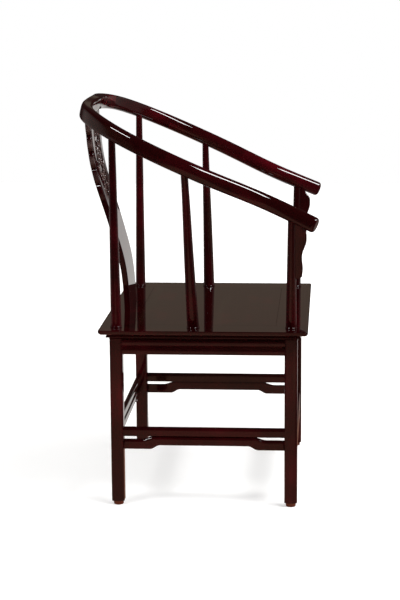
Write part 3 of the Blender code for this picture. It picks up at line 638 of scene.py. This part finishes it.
def onBoard(x, height, proud):  # a point above the seat on the splat's front face, standing proud of it
    share = height / boardHeight
    normal = Vector((1, 0, 0)).cross(boardAlong(share))  # towards the sitter
    if normal.y > 0:
        normal = -normal
    return boardPoint(share) + Vector((x, 0, 0)) + normal * (splat["thickness"] / 2 + proud)


def boardWidth(height):
    return between(splat["bottomWidth"], splat["topWidth"], height / boardHeight)


carving = {
    "low": 0.262,
    "high": 0.478,
    "side": 0.023,
    "rim": 0.0018,
    "stem": 0.0024,
    "leaf": 0.0021,
    "bud": 0.0026,
    "depth": 0.0034,
    "fieldSteps": 60,
    "lobeDepth": 0.035,
    "rimIn": (0.0035, 0.0045),
    "scrolls": (  # aside, above the middle, first angle, turns, size, hand; mirrored to the other half
        (0.021, 0.072, 3.6, 1.35, 0.0185, -1),
        (0.038, 0.040, 1.2, 1.25, 0.0155, 1),
        (0.019, 0.012, 4.4, 1.45, 0.0170, -1),
        (0.040, -0.014, 1.9, 1.20, 0.0145, 1),
        (0.020, -0.042, 4.9, 1.40, 0.0170, -1),
        (0.036, -0.070, 2.2, 1.25, 0.0150, 1),
    ),
    "scrollEye": 0.003,
    "stemTip": 0.0009,
    "leaves": 3,
    "leafTurn": 2.1,
    "leafLean": 0.5,
    "leafLength": 0.013,
    "leafTip": 0.0006,
    "buds": 5,
    "budFirst": 0.084,
    "budApart": 0.042,
    "budHalf": 0.008,
    "budTip": 0.0008,
    "wornAndSheenDepth": 0.0022,
    # how pale the worn and painted-highlight tops of the scrolls are
    "worn": 0.7,
}
carvedMiddle = (carving["low"] + carving["high"]) / 2
carvedReach = (carving["high"] - carving["low"]) / 2


def cartoucheHalf(height):  # half width of the carved field at a height, lobed at head and foot
    level = min(1.0, abs(height - carvedMiddle) / carvedReach)
    lobe = 1 - carving["lobeDepth"] * (1 - cos(2 * pi * 3 * level)) * level
    return (boardWidth(carving["low"]) / 2 - carving["side"]) * (1 - level**5) ** 0.2 * lobe


def makeField():  # the sunk ground of the carving
    rings = []
    above, deep = 0.004, -carving["depth"]
    for share in shares(carving["fieldSteps"]):
        height = carvedMiddle + carvedReach * sin(-pi / 2 * (1 - 2 * share))
        half = max(0.0012, cartoucheHalf(height))
        corners = ((-half, above), (half, above), (half, deep), (-half, deep))
        rings.append([onBoard(x, height, proud) for x, proud in corners])
    return extrudeThrough("carvedField", rings)


def reliefLine(points, radii):  # a half-round scroll rising from the sunk ground
    places = [onBoard(*at, 0.35 * radius - carving["depth"]) for at, radius in zip(points, radii)]
    piece, curve, line = drawnCurve("reliefLine", places)
    for point, radius in zip(line.points, radii):
        point.radius = radius
    curve.dimensions = "3D"
    curve.bevel_depth = 1.0
    curve.bevel_resolution = 3
    curve.use_fill_caps = True
    bpy.ops.object.convert(target="MESH")
    return piece


def spiral(centreX, centreY, start, turns, outer, hand):
    points = []
    for share in shares(30):
        radius = between(outer, carving["scrollEye"], share**0.8)
        angle = start + hand * 2 * pi * turns * share
        points.append(around(centreX, centreY, radius, angle))
    return points


def tapered(count, thick, thin):
    return [between(thin, thick, sin(pi * (0.12 + 0.88 * share)) ** 0.8) for share in shares(count - 1)]


def leafShape(x, y, angle, hand):  # a curled leaf, as a fat tapering stroke
    points, radii = [], []
    for share in shares(12):
        bend, length = angle + hand * 0.9 * share, carving["leafLength"]
        points.append(around(x, y, length * share, bend))
        swell = sin(pi * min(1, share * 0.94 + 0.06)) ** 0.9
        radii.append(carving["leafTip"] + carving["leaf"] * swell)
    return points, radii


def makeCarving():
    strokes, rim = [], []
    rimAside, rimUp = carving["rimIn"]
    for angle in arc(120, 2 * pi):  # a raised bead inside the field's edge
        height = carvedMiddle + (carvedReach - rimUp) * sin(angle)
        rim.append((copysign(max(0.0, cartoucheHalf(height) - rimAside), cos(angle)), height))
    strokes.append((rim, [carving["rim"]] * len(rim)))
    for x, above, start, turns, outer, hand in carving["scrolls"]:
        y = carvedMiddle + above
        line = spiral(x, y, start, turns, outer, hand)
        lines = [(line, tapered(len(line), carving["stem"], carving["stemTip"]))]
        for leaf in range(carving["leaves"]):
            angle = start + leaf * carving["leafTurn"]
            root = around(x, y, outer * 0.9, angle)
            lines.append(leafShape(*root, angle + carving["leafLean"], hand))
        for mirror in (1, -1):
            strokes += [([(mirror * px, py) for px, py in points], radii) for points, radii in lines]
    for bud in range(carving["buds"]):  # buds down the middle
        y, half = carvedMiddle + carving["budFirst"] - bud * carving["budApart"], carving["budHalf"]
        points = [(0, between(y - half, y + half, share)) for share in shares(10)]
        radii = [carving["budTip"] + carving["bud"] * sin(turn) for turn in arc(10, pi)]
        strokes.append((points, radii))
    return [reliefLine(points, radii) for points, radii in strokes]


def carvedHeight(point):  # the tops of the scrolls are worn and painted paler as a painted highlight, their feet are not
    surface = onBoard(point.x, point.z - seatTop, 0.0)
    return carving["worn"] * min(1.0, max(0.0, 1 + (surface.y - point.y) / carving["wornAndSheenDepth"]))


def markWornAndSheen(piece, rule):  # where hands and dusters have dulled the lacquer, and where a pale painted highlight lies on it
    values = piece.data.attributes.new("wornAndSheen", "FLOAT", "POINT")
    for index, vertex in enumerate(piece.data.vertices):
        values.data[index].value = rule(vertex.co)


def makeSplat():
    rings = []
    for share in shares(splat["levels"]):
        width = boardWidth(share * boardHeight)
        along = boardAlong(share) if share else Vector((0, 0, 1))
        normal = along.cross(Vector((1, 0, 0)))
        centre = boardPoint(share)
        outline = roundedSection(width, splat["thickness"], splat["edge"], splat["edgeSteps"])
        rings.append([centre + Vector((u, 0, 0)) + normal * v for u, v in outline])
    board = extrudeThrough("splatBoard", rings)
    carveWith(board, makeField())
    markWornAndSheen(board, lambda point: 0.0)
    strokes = makeCarving()
    onlyThis(board)
    for stroke in strokes:
        markWornAndSheen(stroke, carvedHeight)
        stroke.select_set(True)
    bpy.ops.object.join()
    finishPiece(board, ["back_splat"], splatLacquer, 40)


flange = {
    "length": 0.203,
    "fromTop": 0.022,
    "thickness": 0.0126,
    "widest": 0.0130,
    "narrowest": 0.0025,
    "sunk": -0.0009,
    "lobes": 5,
    "footShare": 0.35,
    "edge": 0.0026,
    "steps": 80,
    "wornAndLitFrom": 0.60,
    "wornAndLitGain": 1.15,
}


def wornAndLitLobe(point):  # the swell of each lobe is worn and painted paler as a painted highlight, the notches stay dark
    height = point.z - seatTop - boardHeight + flange["fromTop"] + flange["length"]
    share = height / flange["length"]
    swell = abs(sin(pi * flange["lobes"] * min(1.0, max(0.0, share))))
    return max(0.0, swell - flange["wornAndLitFrom"]) * flange["wornAndLitGain"] * min(1.0, max(0.0, 3 * share - 0.5))


def makeFlange(hand, side):
    outline = []
    for share in shares(flange["steps"]):
        lobe = abs(sin(pi * flange["lobes"] * share))
        reach = between(flange["footShare"], 1, share)
        width = between(flange["narrowest"], flange["widest"], reach * sqrt(lobe))
        outline.append((width, boardHeight - flange["fromTop"] - flange["length"] * (1 - share)))
    inner = [(flange["sunk"], height) for _, height in reversed(outline)]
    piece = cutBoard(f"splatFlange.{hand}", outline + inner, flange["thickness"] / 2, flange["edge"], 3)

    def placed(out, height, proud):
        x = side * (boardWidth(height) / 2 + out)
        return onBoard(x, height, proud - splat["thickness"] / 2)

    remap(piece, placed)
    markWornAndSheen(piece, wornAndLitLobe)
    finishPiece(piece, [f"splat_flange_{hand}"], splatLacquer, 40)


makeSplat()
for hand, side in hands:
    makeFlange(hand, side)
print("splat made")


bracket = {
    "length": 0.139,
    "thickness": 0.0095,
    "edge": 0.0026,
    "bulge": 0.0258,
    "steps": 60,
    "outline": ((0, 0.12), (0.017, 0.39), (0.057, 0.56), (0.148, 0.62), (0.303, 0.565), (0.421, 0.60),
                (0.496, 0.74), (0.601, 0.96), (0.698, 1.0), (0.786, 0.88), (0.841, 0.60), (1.0, 0.5)),
}


def makeBracket(hand, side):
    front = legRows["front"]
    top = railAtY(front["y"] + front["lean"])
    foot = Vector((leg["x"], front["y"], seatTop))
    hang = rail["armHalves"][1]
    footZ = top.z - hang - bracket["length"]
    height = bracket["length"] + hang / 2

    def postAt(z):
        share = (z - seatTop) / (top.z - seatTop)
        return foot.lerp(top, share), between(leg["postRadius"], front["topRadius"], share)

    edge, back = [], []
    for share in shares(bracket["steps"]):
        z = footZ + height * share
        point, radius = postAt(z)
        reach = bracket["bulge"] * splineThrough(bracket["outline"], [share])[0][0]
        edge.append((point.y - radius - reach, z))
        back.append((point.y - radius * 0.5, z))
    piece = cutBoard(f"armBracket.{hand}", edge + back[::-1], bracket["thickness"] / 2, bracket["edge"], 4)

    def placed(y, z, across):
        return side * (postAt(z)[0].x + across), y, z

    remap(piece, placed)
    finishPiece(piece, [f"arm_bracket_{hand}"], uprightLacquer, 40)


for hand, side in hands:
    makeBracket(hand, side)
print("brackets made")


seat = {
    "width": 0.660,
    "depth": 0.500,
    "railWidth": 0.078,
    "thickness": 0.024,
    "lip": 0.0117,
    "lipRadius": 0.0018,
    "lipFoot": (0.0120, 0.0088),
    "quirkIn": 0.0200,
    "beadIn": 0.0170,
    "beadTop": 0.0176,
    "beadFoot": 0.0199,
    "beadEdge": 0.0004,
    "hollowIn": 0.0262,
    "footIn": 0.0240,
    "mitreGap": 0.00008,
    "panelThickness": 0.0130,
    "panelEdge": 0.0005,
    "panelGap": 0.00012,
    "cornerRadius": 0.0065,
}


def seatSection():  # (distance in from the edge, height) of a seat rail
    points, top = [(seat["railWidth"], 0.0)], seat["lipRadius"]
    for angle in arc(8):
        points.append((top * (1 - sin(angle)), -top * (1 - cos(angle))))
    footIn, footHigh = seat["lipFoot"]
    for angle in arc(12)[1:]:
        points.append((footIn * (1 - cos(angle)), -seat["lip"] + footHigh * (1 - sin(angle))))
    beadIn, edge = seat["beadIn"], seat["beadEdge"]
    points.append((seat["quirkIn"], -seat["lip"]))
    points += [(beadIn + edge, -seat["beadTop"]), (beadIn, -seat["beadTop"] - edge)]
    points += [(beadIn, -seat["beadFoot"] + edge), (beadIn + edge, -seat["beadFoot"])]
    points += [(seat["hollowIn"], -seat["beadFoot"]), (seat["footIn"], -seat["thickness"])]
    points.append((seat["railWidth"], -seat["thickness"]))
    return points


def makeSeatRail(row, halfLength, halfSpan, turn, material):
    piece = cutBoard(f"seatRail.{row}", seatSection(), halfLength)
    remap(piece, lambda inward, height, along: (along, -(halfSpan - inward), seatTop + height))
    onlyThis(piece)
    bpy.ops.object.mode_set(mode="EDIT")
    radius = seat["cornerRadius"]
    for end in (-1, 1):
        bpy.ops.mesh.select_all(action="SELECT")
        corner = (end * (halfLength - seat["mitreGap"]), -halfSpan, seatTop)
        bpy.ops.mesh.bisect(plane_co=corner, plane_no=(end, 1, 0), use_fill=True, clear_outer=True)
        for share in shares(6)[1:]:
            bpy.ops.mesh.select_all(action="SELECT")
            cut = end * (halfLength - radius * share)
            bpy.ops.mesh.bisect(plane_co=(cut, 0, 0), plane_no=(1, 0, 0))
    bpy.ops.object.mode_set(mode="OBJECT")
    for vertex in piece.data.vertices:  # the corner is rounded in plan, each moulding line on its own arc
        fromEnd, inward = halfLength - abs(vertex.co.x), halfSpan + vertex.co.y
        if fromEnd < radius and inward < radius - 0.00001:
            own = radius - inward
            turned = pi / 4 * min(1.0, (radius - fromEnd) / own)
            vertex.co.x = copysign(halfLength - radius + own * sin(turned), vertex.co.x)
            vertex.co.y = -halfSpan + radius - own * cos(turned)
    piece.data.transform(Matrix.Translation((0, setback, 0)) @ Matrix.Rotation(turn, 4, "Z"))
    tidyMesh(piece)
    finishPiece(piece, [f"seat_rail_{row}"], material, 30)


def makeSeat():
    halfX, halfY = seat["width"] / 2, seat["depth"] / 2
    for row, turn in (("front", 0.0), ("back", pi)):
        makeSeatRail(row, halfX, halfY, turn, seatAcrossLacquer)
    for row, turn in (("left", pi / 2), ("right", -pi / 2)):
        makeSeatRail(row, halfY, halfX, turn, seatSideLacquer)
    innerX, innerY = (half - seat["railWidth"] - seat["panelGap"] for half in (halfX, halfY))
    outline = [(-innerX, -innerY), (innerX, -innerY), (innerX, innerY), (-innerX, innerY)]
    panel = cutBoard("seatPanel", outline, seat["panelThickness"] / 2, seat["panelEdge"], 2)
    drop = seatTop - seat["panelThickness"] / 2
    remap(panel, lambda x, y, z: (x, y + setback, z + drop))
    finishPiece(panel, ["seat_panel"], seatAcrossLacquer, 30)


makeSeat()
print("seat made")


apron = {
    "height": 0.0403,
    "thickness": 0.0160,
    "recess": 0.0025,
    "section": ((-1.0, 0.0), (0.80, 0.0), (0.92, 0.012), (1.0, 0.05), (1.0, 0.25), (0.96, 0.285), (0.86, 0.335),
                (0.74, 0.39), (0.62, 0.445), (0.50, 0.49), (0.50, 0.51), (0.62, 0.53), (0.80, 0.55), (0.94, 0.58),
                (1.0, 0.63), (1.0, 0.79), (0.95, 0.835), (0.84, 0.875), (0.72, 0.90), (0.62, 0.92), (0.60, 1.0),
                (-1.0, 1.0)),
}
bars = {
    "height": 0.0238,
    "humpHeight": 0.0244,
    "thickness": 0.0126,
    "recess": 0.0020,
    "roundness": 2.9,
    "seamRoundness": 9.0,
    "seamFlush": 0.88,
    "sides": 40,
    "touch": 0.0003,
    "rounding": 0.0060,
    "sideTop": 0.1961,
    "frontDrop": 0.0428,
    "drop": 0.0074,
    "rise": 0.0096,
    "topBend": (0.77, 0.617),
    "footBend": (0.665, 0.545),
    "stations": (0.53, 0.80),
    "housed": 0.0020,
}
frontX = leg["x"] - leg["side"] / 2
frontY, rearY = (values["y"] for values in legRows.values())
spanY, middleY = (rearY - frontY - leg["side"]) / 2, (rearY + frontY) / 2
layout = (
    ("front", frontX, Vector((0, frontY, 0)), 0.0, acrossLacquer),
    ("back", frontX, Vector((0, rearY, 0)), pi, acrossLacquer),
    ("left", spanY, Vector((leg["x"], middleY, 0)), pi / 2, sideLacquer),
    ("right", spanY, Vector((-leg["x"], middleY, 0)), -pi / 2, sideLacquer),
)


def setInRow(piece, nodes, place):  # turned to its own side of the chair
    middle, turn, material = place
    piece.data.transform(Matrix.Translation(middle) @ Matrix.Rotation(turn, 4, "Z"))
    tidyMesh(piece)
    finishPiece(piece, nodes, material, 30)


def makeApron(row, halfLength, place):
    half = apron["thickness"] / 2
    section = [(half * out, apron["height"] * up) for out, up in apron["section"]]
    piece = cutBoard(f"apron.{row}", section, halfLength + bars["housed"])
    outward = leg["side"] / 2 - apron["recess"] - half
    foot = leg["underSeat"] - apron["height"]
    remap(piece, lambda out, up, along: (along, -(outward + out), foot + up))
    setInRow(piece, [f"apron_{row}"], place)


def makeStretchers(row, halfLength, place):
    top = bars["sideTop"] - (bars["frontDrop"] if row == "front" else 0.0)
    half, rounding = bars["thickness"] / 2, bars["rounding"]
    offset = leg["side"] / 2 - bars["recess"] - half
    length = halfLength + bars["housed"]
    flush = row in ("left", "right")  # on the side pairs the inner faces meet without a groove
    section = []
    for angle in allRound(bars["sides"]):
        atSeam = flush and cos(angle) > 0 and sin(angle) < 0
        c, s, reach = softSquare(angle, bars["seamRoundness"] if atSeam else bars["roundness"])
        section.append((half * reach * c, bars["height"] / 2 * reach * s))
    straight = cutBoard(f"stretcher.{row}", section, length)
    centre = top - bars["height"] / 2
    remap(straight, lambda across, up, along: (along, across - offset, centre + up))
    setInRow(straight, [f"stretcher_{row}"], place)

    endTop = top - bars["height"] - bars["drop"]
    endFoot = endTop - bars["humpHeight"]

    def topAt(station):
        return endTop + (bars["drop"] - bars["touch"]) * easeBetween(station, *bars["topBend"])

    def footAt(station):
        return endFoot + bars["rise"] * easeBetween(station, *bars["footBend"])

    low, high = bars["stations"]
    bends = [between(low, high, share) for share in shares(18)]
    stations = [-1.0] + [-station for station in reversed(bends)] + bends + [1.0]
    upper = [(station * length, topAt(abs(station))) for station in stations]
    lower = [(station * length, footAt(abs(station))) for station in reversed(stations)]
    hump = cutBoard(f"humpStretcher.{row}", upper + lower, half, rounding, 7)

    def placed(along, up, across):
        depth, station = max(0.0, across - half + rounding), abs(along) / length
        inset = bars["seamFlush"] * (rounding - sqrt(max(0.0, rounding**2 - depth**2)))
        crown, level = topAt(station), (topAt(station) + footAt(station)) / 2
        if flush and depth > 0 and up > level:
            up = level + (up - level) * (crown - level) / (crown - level - inset)
        return along, across - offset, up

    remap(hump, placed)
    setInRow(hump, [f"hump_stretcher_{row}"], place)


for row, halfLength, *place in layout:
    makeApron(row, halfLength, place)
    makeStretchers(row, halfLength, place)
print("aprons and stretchers made")


pad = {
    "radius": 0.0120,
    "height": 0.0100,
    "edge": 0.0024,
    "topEase": 0.0008,
    "well": 0.0042,
    "wellDepth": 0.0030,
    "nailHole": 0.0018,
    "sides": 40,
}
padPlastic, nailSteel = makeTwoTone("padPlastic", padLook), makeTwoTone("nailSteel", steelLook)
battenWood = makeTwoTone("battenWood", bareWood, (0, 1, 0))
wedgeWood = makeTwoTone("wedgeWood", bareWood, (0, 0, 1))


def makePad(hand, side, row):
    edge, ease = pad["edge"], pad["topEase"]
    levels = [(pad["wellDepth"], pad["nailHole"]), (pad["wellDepth"], pad["well"]), (0.0, pad["well"])]
    for angle in arc(6):
        levels.append((edge * (1 - cos(angle)), pad["radius"] - edge * (1 - sin(angle))))
    for angle in arc(3):
        levels.append((pad["height"] - ease * (1 - sin(angle)), pad["radius"] - ease * (1 - cos(angle))))
    x, y = side * leg["x"], legRows[row]["y"]
    rings = [levelCircle(x, y, z, radius, pad["sides"]) for z, radius in levels]
    piece = extrudeThrough(f"footPad.{row}.{hand}", rings)
    finishPiece(piece, [f"foot_pad_{row}_{hand}"], padPlastic, 40)


for hand, side in hands:
    for row in legRows:
        makePad(hand, side, row)
for name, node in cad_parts.items():
    for start, material in (("foot_nail", nailSteel), ("panel_batten", battenWood), ("scarf_wedge", wedgeWood)):
        if name.startswith(start):
            node.data.materials.clear()
            node.data.materials.append(material)
print("feet made")


paper = {
    "place": (1.6, 0.0, -0.0002),
    "size": 9.0,
    "fibreScale": 40.0,
    "dull": (0.93, 0.93, 0.93, 1),
    "clean": (0.96, 0.96, 0.955, 1),
    "surface": {"Roughness": 0.9, "Specular IOR Level": 0.1},
    "poolAlong": (-3.2, -1.5, 0.12, 1.0),
    "poolMiddle": 0.15,
    "poolAcross": (0.30, 0.65, 1.0, 0.10),
    "stripStart": (0.05, 0.55),
    "stripSlope": -0.26,
    "stripEdge": (-0.02, 0.14, 1.0, 0.0),
    "frontSlope": 1.9,
    "frontAlong": (-0.2, 1.0),
    "frontAcross": (-0.6, -1.6),
    "sheetSlope": 3.3,
    "sheetAcross": (1.1, 2.2),
    "sheetAlong": (-1.3, 1.3),
    "lift": (0.8, 2.6, 0.185, 0.50),
    "lampEdge": (0.9, 1.8),
    "lampStrength": 5.0,
}
tones = {  # painted light and shade that glossy rays see, on the floor and in the sky
    "dark": (0.020, 0.016, 0.015, 1),
    "pool": (0.30, 0.152, 0.106, 1),
    "halfLit": (0.34, 0.27, 0.24, 1),
    "sheets": (0.20, 0.168, 0.156, 1),
    "litPaper": (0.64, 0.61, 0.59, 1),
    "room": (0.024, 0.013, 0.012, 1),
    "wall": (0.026, 0.015, 0.014, 1),
    "litWall": (0.114, 0.091, 0.071, 1),
    "rightFloor": (0.30, 0.24, 0.21, 1),
}


def maskTools(tree, values):  # short forms for the masks over the floor and the sky
    def fade(value, name):
        return fadeOver(tree, value, *values[name])

    def times(first, second):
        return calculate(tree, "MULTIPLY", first, second)

    def slant(value, name, other):
        return calculate(tree, "MULTIPLY_ADD", value, values[name], other)

    return fade, times, slant


def makeFloor():
    deselectAll()
    bpy.ops.mesh.primitive_plane_add(size=paper["size"], location=paper["place"])
    floor = bpy.context.object
    floor.name = "paperFloor"
    bpy.ops.object.transform_apply()
    material, tree, shader = newMaterial("paper")
    place = addNode(tree, "ShaderNodeTexCoord").outputs["Object"]
    x, y = addNode(tree, "ShaderNodeSeparateXYZ", {"Vector": place}).outputs[:2]
    fibre = noise(tree, place, paper["fibreScale"], 4.0)
    white = toneRamp(tree, fibre, (0.0, paper["dull"]), (1.0, paper["clean"]))
    feed(tree, shader, {"Base Color": white, **paper["surface"]})
    fade, times, slant = maskTools(tree, paper)
    aside = calculate(tree, "ABSOLUTE", y)
    offMiddle = calculate(tree, "ABSOLUTE", calculate(tree, "SUBTRACT", y, paper["poolMiddle"]))
    pool = times(fade(x, "poolAlong"), fade(offMiddle, "poolAcross"))
    wedge = slant(x, "stripSlope", aside)  # a painted strip of lit paper runs away behind the chair
    strip = times(fade(x, "stripStart"), fade(wedge, "stripEdge"))
    forward = slant(x, "frontSlope", y)  # painted half-lit floor out to the front and right
    halfLit = times(fade(forward, "frontAlong"), fade(y, "frontAcross"))
    leaning = slant(x, "sheetSlope", aside)
    hung = times(fade(aside, "sheetAcross"), fade(leaning, "sheetAlong"))  # painted light on the floor, as if sheets before and behind lit it
    # glossy rays see this painted emission, not the paper: a painted pool of light, painted lit strips and
    # sheets, and painted shade elsewhere
    shade = tones["dark"]
    for share, tone in ((pool, "pool"), (halfLit, "halfLit"), (hung, "sheets"), (strip, "litPaper")):
        shade = mixTones(tree, share, shade, tones[tone])
    path = addNode(tree, "ShaderNodeLightPath").outputs
    lift = times(path["Is Camera Ray"], fade(x, "lift"))  # a painted glow that keeps the paper white to the eye
    lamps = calculate(tree, "MAXIMUM", fade(aside, "lampEdge"), fade(x, "lampEdge"))  # the paper glows like a lamp for diffuse rays, for the sides turned away
    upward = times(path["Is Diffuse Ray"], lamps)
    strength = slant(upward, "lampStrength", lift)
    glow = addNode(tree, "ShaderNodeEmission", {"Strength": strength}).outputs[0]
    lit = addNode(tree, "ShaderNodeAddShader", {0: shader.outputs[0], 1: glow}).outputs[0]
    dim = addNode(tree, "ShaderNodeEmission", {"Color": shade}).outputs[0]
    mix = addNode(tree, "ShaderNodeMixShader", {"Fac": path["Is Glossy Ray"], 1: lit, 2: dim})
    feed(tree, tree.nodes["Material Output"], {"Surface": mix.outputs[0]})
    floor.data.materials.append(material)


room = {
    "soft": (1, 0.99, 0.98, 1),
    "wallHeights": (0.160, 0.170, 0.214, 0.255),
    "wallSides": (0.485, 0.505, 0.565, 0.585),
    "wallFront": (-0.25, 0.55),
    "floorBelow": (-0.03, -0.10),
    "floorAhead": (-0.16, -0.30),
    "sheetMiddle": 0.08,
    "sheetSlope": 0.45,
    "sheetEdge": (0.78, 1.0),
    "bounce": (0.80, 0.95, 0.62, 3.6),
    "backdropEdge": (0.960, 0.975),
    "backdropSlope": 0.6,
    "backdropFoot": (-0.130, -0.155),
}


def makeWorld():  # white to the eye and for soft light; in the gloss a dim room with a bright backdrop on +X
    world = bpy.data.worlds.new("studio")
    bpy.context.scene.world = world
    world.use_nodes = True
    tree = world.node_tree
    place = addNode(tree, "ShaderNodeTexCoord").outputs["Generated"]
    x, y, z = addNode(tree, "ShaderNodeSeparateXYZ", {"Vector": place}).outputs
    fade, times, slant = maskTools(tree, room)
    steps = ("wall", "litWall", "litWall", "wall")
    wallTone = toneRamp(tree, z, *[(at, tones[step]) for at, step in zip(room["wallHeights"], steps)])
    black, white = (0, 0, 0, 1), (1, 1, 1, 1)
    across = calculate(tree, "MULTIPLY_ADD", y, 0.5, 0.5)
    marks = zip((0.0, *room["wallSides"], 1.0), (black, black, white, white, black, black))
    front = fade(x, "wallFront")
    tone = mixTones(tree, times(front, toneRamp(tree, across, *marks)), tones["room"], wallTone)
    rightFloor = times(fade(z, "floorBelow"), fade(y, "floorAhead"))
    tone = mixTones(tree, times(rightFloor, front), tone, tones["rightFloor"])
    sideways = calculate(tree, "ABSOLUTE", calculate(tree, "SUBTRACT", y, room["sheetMiddle"]))
    leaning = slant(x, "sheetSlope", sideways)
    tone = mixTones(tree, fade(leaning, "sheetEdge"), tone, tones["sheets"])  # white sheets before and behind
    edge = slant(y, "backdropSlope", z)  # the paper's far edge runs aslant
    backdrop = times(fade(x, "backdropEdge"), fade(edge, "backdropFoot"))
    tone = mixTones(tree, backdrop, tone, tones["litPaper"])
    seenWhite = tree.nodes["Background"]
    feed(tree, seenWhite, {"Color": white, "Strength": 1.0})
    softLight = {"Color": room["soft"], "Strength": fade(sideways, "bounce")}  # the sheets throw light back
    soft = addNode(tree, "ShaderNodeBackground", softLight).outputs[0]
    gloss = addNode(tree, "ShaderNodeBackground", {"Color": tone}).outputs[0]
    path = addNode(tree, "ShaderNodeLightPath").outputs
    toEye = {"Fac": path["Is Camera Ray"], 1: soft, 2: seenWhite.outputs[0]}
    seen = addNode(tree, "ShaderNodeMixShader", toEye).outputs[0]
    mix = addNode(tree, "ShaderNodeMixShader", {"Fac": path["Is Glossy Ray"], 1: seen, 2: gloss})
    feed(tree, tree.nodes["World Output"], {"Surface": mix.outputs[0]})


lights = {
    "rightBox": {"at": (-1.12, -2.50, 3.31), "to": (0, -0.1, 0.75), "turn": -0.26,
                 "size": (2.62, 0.70), "power": 122},
    "leftBox": {"at": (-1.70, 1.94, 3.30), "to": (0, 0.1, 0.75), "turn": 0.0,
                "size": (1.62, 0.42), "power": 50},
}


def makeLights():
    for name, values in lights.items():
        place, aim = Vector(values["at"]), Vector(values["to"])
        bpy.ops.object.light_add(type="AREA", location=place)
        lamp = bpy.context.object
        lamp.name = name
        lamp.data.shape = "RECTANGLE"
        lamp.data.size, lamp.data.size_y = values["size"]
        lamp.data.energy = values["power"]
        facing = (aim - place).to_track_quat("-Z", "Y") @ Quaternion((0, 0, 1), values["turn"])
        lamp.rotation_euler = facing.to_euler()


view = {
    "place": (-4.4842, -0.3196, 1.3024),
    "yawPitchRoll": (0.0738, -0.1865, -0.0069),
    "lens": 107.89,
    "sensor": 36,
    "farthest": 60,
}


def makeCamera():
    yaw, pitch, roll = view["yawPitchRoll"]
    level = cos(pitch)
    forward = Vector((cos(yaw) * level, sin(yaw) * level, sin(pitch)))
    aside = forward.cross(Vector((0, 0, 1))).normalized()
    rise = aside.cross(forward)
    right, up = rolled(aside, rise, roll)
    bpy.ops.object.camera_add(location=view["place"])
    camera = bpy.context.object
    camera.rotation_euler = Matrix((right, up, -forward)).transposed().to_euler()
    camera.data.lens = view["lens"]
    camera.data.sensor_width = view["sensor"]
    camera.data.clip_end = view["farthest"]
    bpy.context.scene.camera = camera


makeFloor()
makeWorld()
makeLights()
makeCamera()
bpy.context.scene.view_settings.view_transform = "Standard"
print("studio made")
